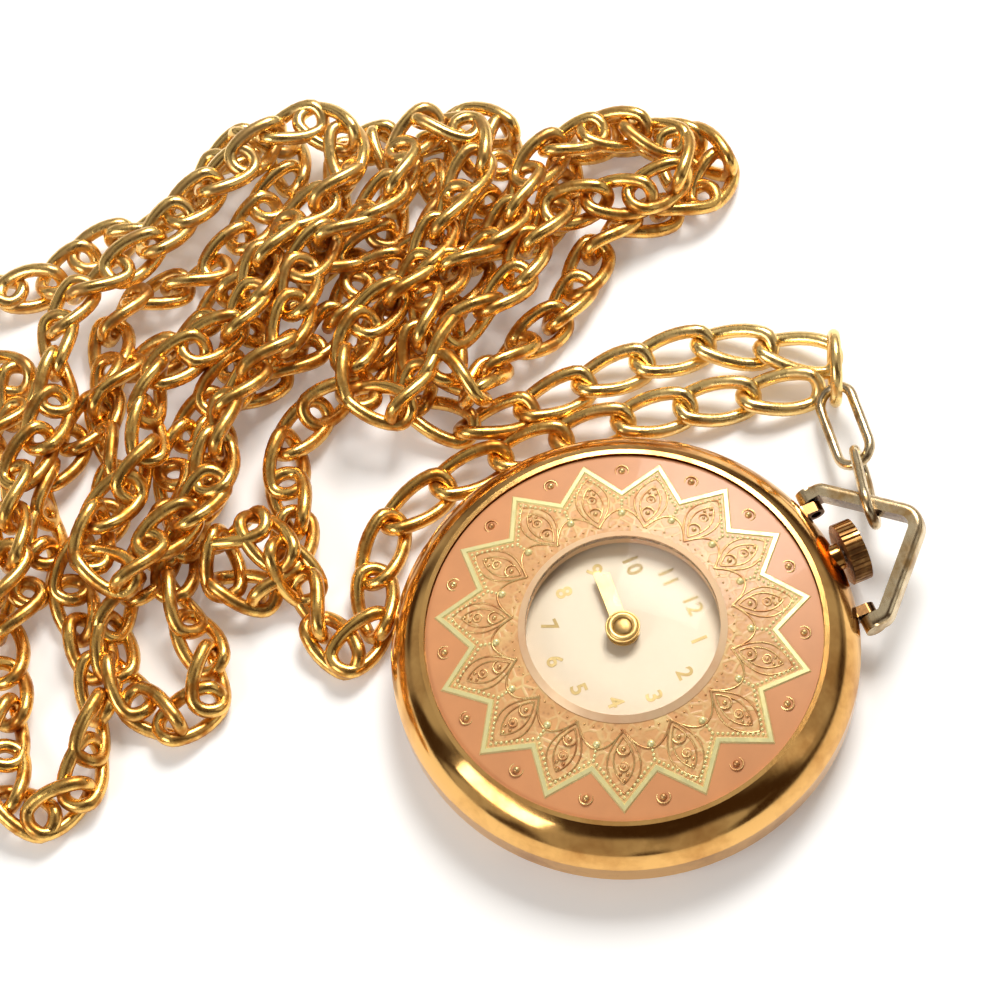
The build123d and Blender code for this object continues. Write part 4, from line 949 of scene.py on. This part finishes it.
chain = {
    "wire": 0.97,
    "overlap": 1.95,  # in wires
    "width": 3.45,
    "flat": 1.6,  # the higher, the flatter the sides of a link
    "twist": 36,  # degrees from the middle of a link to its end
    "pitch": 4.3,
    "slackPitch": 3.0,  # in the heap, where the links lie closer
    "slackLength": 5.5,
    "shortest": 0.4,  # share of a link that may be left over
    "wave": 1.25,
    "waveLength": 13,
    "waveShares": (0.7, 1.2),  # of the even wave and of the uneven drift
    "driftLength": 9,
    "driftSeed": (5.1, 0.4),
    "diameter": 2.2,
    "around": 10,
    "along": 32,
    "rollSpread": 62,  # degrees
    "rollSwing": 2,
    "rollRate": 0.31,
    "rollSeed": (3.7, 1.3),
    "flick": 0.35,
    "stretch": 0.03,
    "stretchRate": 0.77,
    "stretchSeed": (9.1, 4.2),
    "leadSpread": 12,
    "leadLength": 34,  # the stretch by the watch that lies straight
    "leadFade": 12,
    "lineSteps": 16,
    "exit": (-13.1, 20.95, 2.6),
    "route": [
        (-14.6, 21.3, 1.2), (-17.6, 17.2, 1.2), (-19.7, 13.3, 1.2), (-19.6, 8.4, 1.2), (-19.8, 3.7, 1.2),
        (-19.3, -0.5, 1.2), (-20.0, -4.1, 1.2), (-23.4, -6.4, 1.2), (-27.0, -4.3, 1.2), (-28.8, -0.3, 1.2),
        (-31.2, 3.8, 1.2), (-33.8, 7.7, 1.2), (-36.7, 10.1, 1.2), (-37.8, 12.9, 1.2), (-36.6, 15.8, 1.2),
        (-35.7, 20.1, 1.2), (-31.9, 21.5, 1.2), (-30.1, 17.9, 1.2), (-29.9, 14.1, 1.2), (-27.9, 9.6, 1.2),
        (-25.4, 5.2, 1.2), (-23.1, 1.3, 1.5), (-20.7, -1.2, 2.9), (-22.0, -2.8, 3.6), (-25.1, -1.2, 3.6),
        (-27.7, 2.2, 3.6), (-29.7, 5.8, 3.6), (-31.5, 10.1, 3.6), (-32.5, 13.6, 3.6), (-31.6, 16.7, 3.6),
        (-34.5, 18.6, 3.6), (-36.8, 15.6, 3.6), (-35.8, 11.9, 3.6), (-34.3, 8.2, 3.6), (-31.9, 4.5, 3.6),
        (-30.3, 0.3, 3.6), (-27.7, -3.1, 3.6), (-24.6, -5.5, 3.6), (-21.3, -7.1, 3.6), (-22.6, -10.3, 3.6),
        (-26.4, -9.8, 3.6), (-29.1, -6.5, 3.6), (-31.8, -2.8, 3.6), (-34.2, 0.9, 3.6), (-36.5, 4.1, 3.6),
        (-39.8, 5.4, 3.6), (-42.1, 2.9, 3.6), (-40.1, -0.1, 3.6), (-37.6, -3.5, 3.6), (-35.0, -7.8, 3.6),
        (-32.5, -11.4, 3.6), (-29.3, -14.8, 3.6), (-25.5, -17.6, 3.6), (-22.5, -21.0, 3.6),
        (-19.0, -23.8, 3.6), (-16.4, -26.6, 3.6), (-17.8, -29.1, 3.6), (-21.5, -28.4, 3.6),
        (-24.6, -25.6, 3.6), (-28.1, -22.7, 3.6), (-31.0, -19.4, 3.6), (-33.8, -15.3, 3.6),
        (-36.6, -11.4, 3.6), (-39.1, -7.6, 3.6), (-41.1, -4.2, 3.6), (-44.8, -3.6, 3.6),
        (-46.7, -6.3, 3.6), (-45.0, -9.6, 3.6), (-42.7, -13.4, 3.6), (-42.3, -17.7, 3.6),
        (-40.8, -21.5, 3.6), (-37.9, -25.1, 3.6), (-34.2, -28.1, 3.6), (-29.5, -30.0, 3.6),
        (-26.0, -33.1, 3.6), (-22.1, -35.2, 3.6), (-20.0, -38.4, 3.4), (-20.0, -43.1, 1.6),
        (-25.2, -45.5, 1.2), (-27.9, -41.5, 1.2), (-28.6, -35.9, 1.2), (-32.2, -31.9, 1.2),
        (-36.1, -30.2, 1.2), (-38.9, -33.0, 1.2), (-40.4, -37.0, 1.2), (-44.9, -39.7, 1.2),
        (-47.9, -36.4, 1.2), (-45.1, -31.8, 1.2), (-43.0, -26.2, 1.2), (-42.8, -21.1, 1.2),
        (-44.3, -16.7, 1.2), (-46.1, -12.6, 1.2), (-47.6, -9.0, 1.2), (-45.4, -6.3, 1.2),
        (-42.1, -7.5, 1.2), (-40.7, -11.9, 1.2), (-39.8, -16.7, 1.2), (-37.5, -21.9, 1.2),
        (-34.0, -25.6, 1.2), (-29.8, -28.6, 1.2), (-25.4, -31.6, 1.2), (-20.9, -34.1, 1.2),
        (-17.1, -37.1, 1.2), (-12.5, -39.9, 1.2), (-7.8, -40.4, 1.2), (-4.8, -38.1, 1.2),
        (-5.5, -34.4, 1.2), (-9.3, -32.8, 1.2), (-14.0, -33.2, 1.2), (-18.8, -31.3, 1.2),
        (-23.9, -28.3, 1.2), (-29.1, -25.1, 1.2), (-33.4, -21.4, 1.2), (-35.6, -16.4, 1.2),
        (-37.2, -11.6, 1.2), (-39.3, -6.5, 1.2), (-42.3, -3.6, 1.2), (-44.7, -1.0, 1.2), (-42.0, 2.1, 1.2),
        (-37.8, -0.8, 1.2), (-35.5, -5.6, 1.2), (-33.3, -11.0, 1.2), (-31.8, -15.3, 1.2),
        (-28.9, -19.1, 1.2), (-24.5, -22.3, 1.2), (-20.0, -26.1, 1.2), (-15.5, -29.4, 1.2),
        (-12.8, -30.5, 1.2), (-8.3, -30.6, 1.2), (-7.8, -26.9, 1.2), (-12.4, -25.6, 1.2),
        (-17.5, -24.6, 1.2), (-22.3, -21.1, 1.2), (-26.6, -17.0, 1.2), (-29.6, -12.3, 1.2),
        (-31.2, -7.6, 1.2), (-33.3, -2.7, 1.2), (-35.9, 1.4, 1.2), (-39.2, 3.0, 1.2), (-41.6, 5.3, 1.2),
        (-40.6, 8.1, 1.2), (-37.5, 7.3, 1.2), (-34.9, 5.1, 1.2), (-32.7, 1.0, 1.2), (-30.1, -3.5, 1.2),
        (-28.2, -8.7, 1.2), (-25.2, -13.0, 1.2), (-21.0, -15.6, 1.2), (-16.5, -17.5, 1.2),
        (-12.7, -19.0, 1.2), (-13.2, -22.8, 1.2), (-16.6, -22.4, 1.6), (-18.8, -20.3, 2.5),
        (-18.2, -18.2, 3.5), (-16.5, -16.1, 3.4), (-13.8, -15.6, 1.8), (-11.5, -17.7, 1.2),
        (-7.6, -18.0, 1.2), (-6.9, -14.5, 1.2), (-11.8, -13.2, 1.2), (-15.5, -10.7, 1.2),
        (-16.5, -7.0, 1.2), (-17.0, -2.8, 1.2), (-16.5, 1.6, 1.2), (-16.1, 6.0, 1.2), (-15.4, 10.6, 1.2),
        (-14.4, 14.6, 1.2), (-13.0, 19.3, 1.2),
    ],
}


def routeLine():
    curve = bpy.data.curves.new("route", "CURVE")
    curve.dimensions = "3D"
    curve.resolution_u = chain["lineSteps"]
    spline = curve.splines.new("NURBS")
    spline.points.add(len(chain["route"]) - 1)
    for point, place in zip(spline.points, chain["route"]):
        point.co = (*scaled(place), 1)
    spline.order_u = 3
    spline.use_endpoint_u = True
    return wavyLine(takenMesh(curve)[0])


def slackShare(run, total):
    # 0 in the two leads by the watch, 1 in the heap
    toEnd = min(run, total - run) / mm
    return max(0, min(1, (toEnd - chain["leadLength"]) / chain["leadFade"]))


def wavyLine(line):
    # The slack heap wanders a little to each side, the two leads by the watch don't
    lengths = runLengths(line)
    swing, drift = chain["waveShares"]
    moved = []
    for number, (point, run) in enumerate(zip(line, lengths)):
        before = line[max(0, number - 1)]
        after = line[min(len(line) - 1, number + 1)]
        along = (after - before).normalized()
        side = Vector((-along.y, along.x, 0)).normalized()
        turn = 2 * math.pi * run / (chain["waveLength"] * mm)
        drifted = noise.noise(Vector((run / (chain["driftLength"] * mm), *chain["driftSeed"])))
        reach = chain["wave"] * mm * slackShare(run, lengths[-1])
        moved.append(point + side * (reach * (swing * math.sin(turn) + drift * drifted)))
    return moved


def runLengths(line):
    lengths = [0.0]
    for before, after in zip(line, line[1:]):
        lengths.append(lengths[-1] + (after - before).length)
    return lengths


def placeOn(line, lengths, wanted):
    wanted = max(0.0, min(lengths[-1], wanted))
    low, high = 0, len(lengths) - 1
    while high - low > 1:
        middle = (low + high) // 2
        if lengths[middle] <= wanted:
            low = middle
        else:
            high = middle
    share = (wanted - lengths[low]) / max(1e-12, lengths[high] - lengths[low])
    return line[low].lerp(line[high], share)


def linkLine(length, width):
    half = (length - chain["wire"]) / 2
    side = (width - chain["wire"]) / 2
    straight = half - side
    points = []
    for step in range(chain["along"]):
        turn = 2 * math.pi * step / chain["along"]
        x = straight * max(-1, min(1, chain["flat"] * math.cos(turn))) + side * math.cos(turn)
        y = side * math.sin(turn)
        lean = math.radians(chain["twist"]) * x / half
        points.append(Vector((x, y * math.cos(lean), y * math.sin(lean))) * mm)
    return points


def linkPlaces(total):
    # Links hang at full pitch near the watch and lie closer together in the slack heap
    places = []
    run = 0.0
    while run < total - chain["pitch"] * mm * chain["shortest"]:
        pitch = (chain["pitch"] + (chain["slackPitch"] - chain["pitch"]) * slackShare(run, total)) * mm
        places.append((run + pitch / 2, pitch))
        run += pitch
    fit = total / run
    return [(middle * fit, pitch * fit) for middle, pitch in places]


def linkLength(pitch):
    full = chain["pitch"] + chain["overlap"] * chain["wire"]
    share = (chain["pitch"] - pitch / mm) / (chain["pitch"] - chain["slackPitch"])
    return full + (chain["slackLength"] - full) * max(0, min(1, share))


def linkRoll(number, toEnd):
    spread = chain["leadSpread"] if toEnd < chain["leadLength"] else chain["rollSpread"]
    wave = noise.noise(Vector((number * chain["rollRate"], *chain["rollSeed"])))
    flick = chain["flick"] * (1 if number % 2 else -1)
    return math.radians(spread * (chain["rollSwing"] * wave + flick))


def makeChain(material):
    line = routeLine()
    lengths = runLengths(line)
    total = lengths[-1]
    places = linkPlaces(total)
    radius = chain["wire"] * mm / 2
    shape = ([], [])
    for number, (middle, pitch) in enumerate(places):
        back = placeOn(line, lengths, middle - pitch * 0.5)
        front = placeOn(line, lengths, middle + pitch * 0.5)
        centre = (back + front) / 2
        along = (front - back).normalized()
        turned = Matrix.Rotation(linkRoll(number, min(middle, total - middle) / mm), 3, along)
        side = Vector((0, 0, 1)).cross(along).normalized()
        lift = turned @ along.cross(side)
        side = turned @ side
        uneven = noise.noise(Vector((number * chain["stretchRate"], *chain["stretchSeed"])))
        stretch = 1 + chain["stretch"] * uneven
        link = linkLine(linkLength(pitch) * stretch, chain["width"] / stretch)
        placed = [centre + along * point.x + side * point.y + lift * point.z for point in link]
        lowest = min(point.z for point in placed) - radius
        if lowest < 0:
            placed = [point + Vector((0, 0, -lowest)) for point in placed]
        sweepLine(placed, radius, chain["around"], shape, lift=lift)
    made = newMesh("chain_links", shape)
    fasten(made, material, "watch")
    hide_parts("chain")
    print("chain:", len(places), "links, line", round(total / mm, 1), "mm")


bpy.context.scene.view_settings.view_transform = "Standard"
setCamera()
setLights()
makeFloor()
print("camera, lights and floor made")

metalWear = wearGroup()
makers = {
    "caseGold": caseMaterial,
    "bowGold": bowMaterial,
    "chainGold": chainMaterial,
    "ruby": rubyMaterial,
    "enamel": enamelMaterial,
    "dialPaint": dialMaterial,
    "crystal": crystalMaterial,
}
materials = {name: metalMaterial(name) for name in metals if name not in makers}
materials.update({name: maker() for name, maker in makers.items()})
paintNodes(materials)
soften()
print("materials made")

makeStar(materials["starGold"])
makeBeads(materials["starGold"], materials["laceGold"])
makeLace(materials["laceGold"])
makeNumerals(materials["numeralGold"])
makeBoss(materials["handGold"], materials["hubBronze"])
print("plate, dial and hands dressed")
makeLinks(materials["wornGold"], materials["chainGold"])
print("links made")
makeChain(materials["chainGold"])
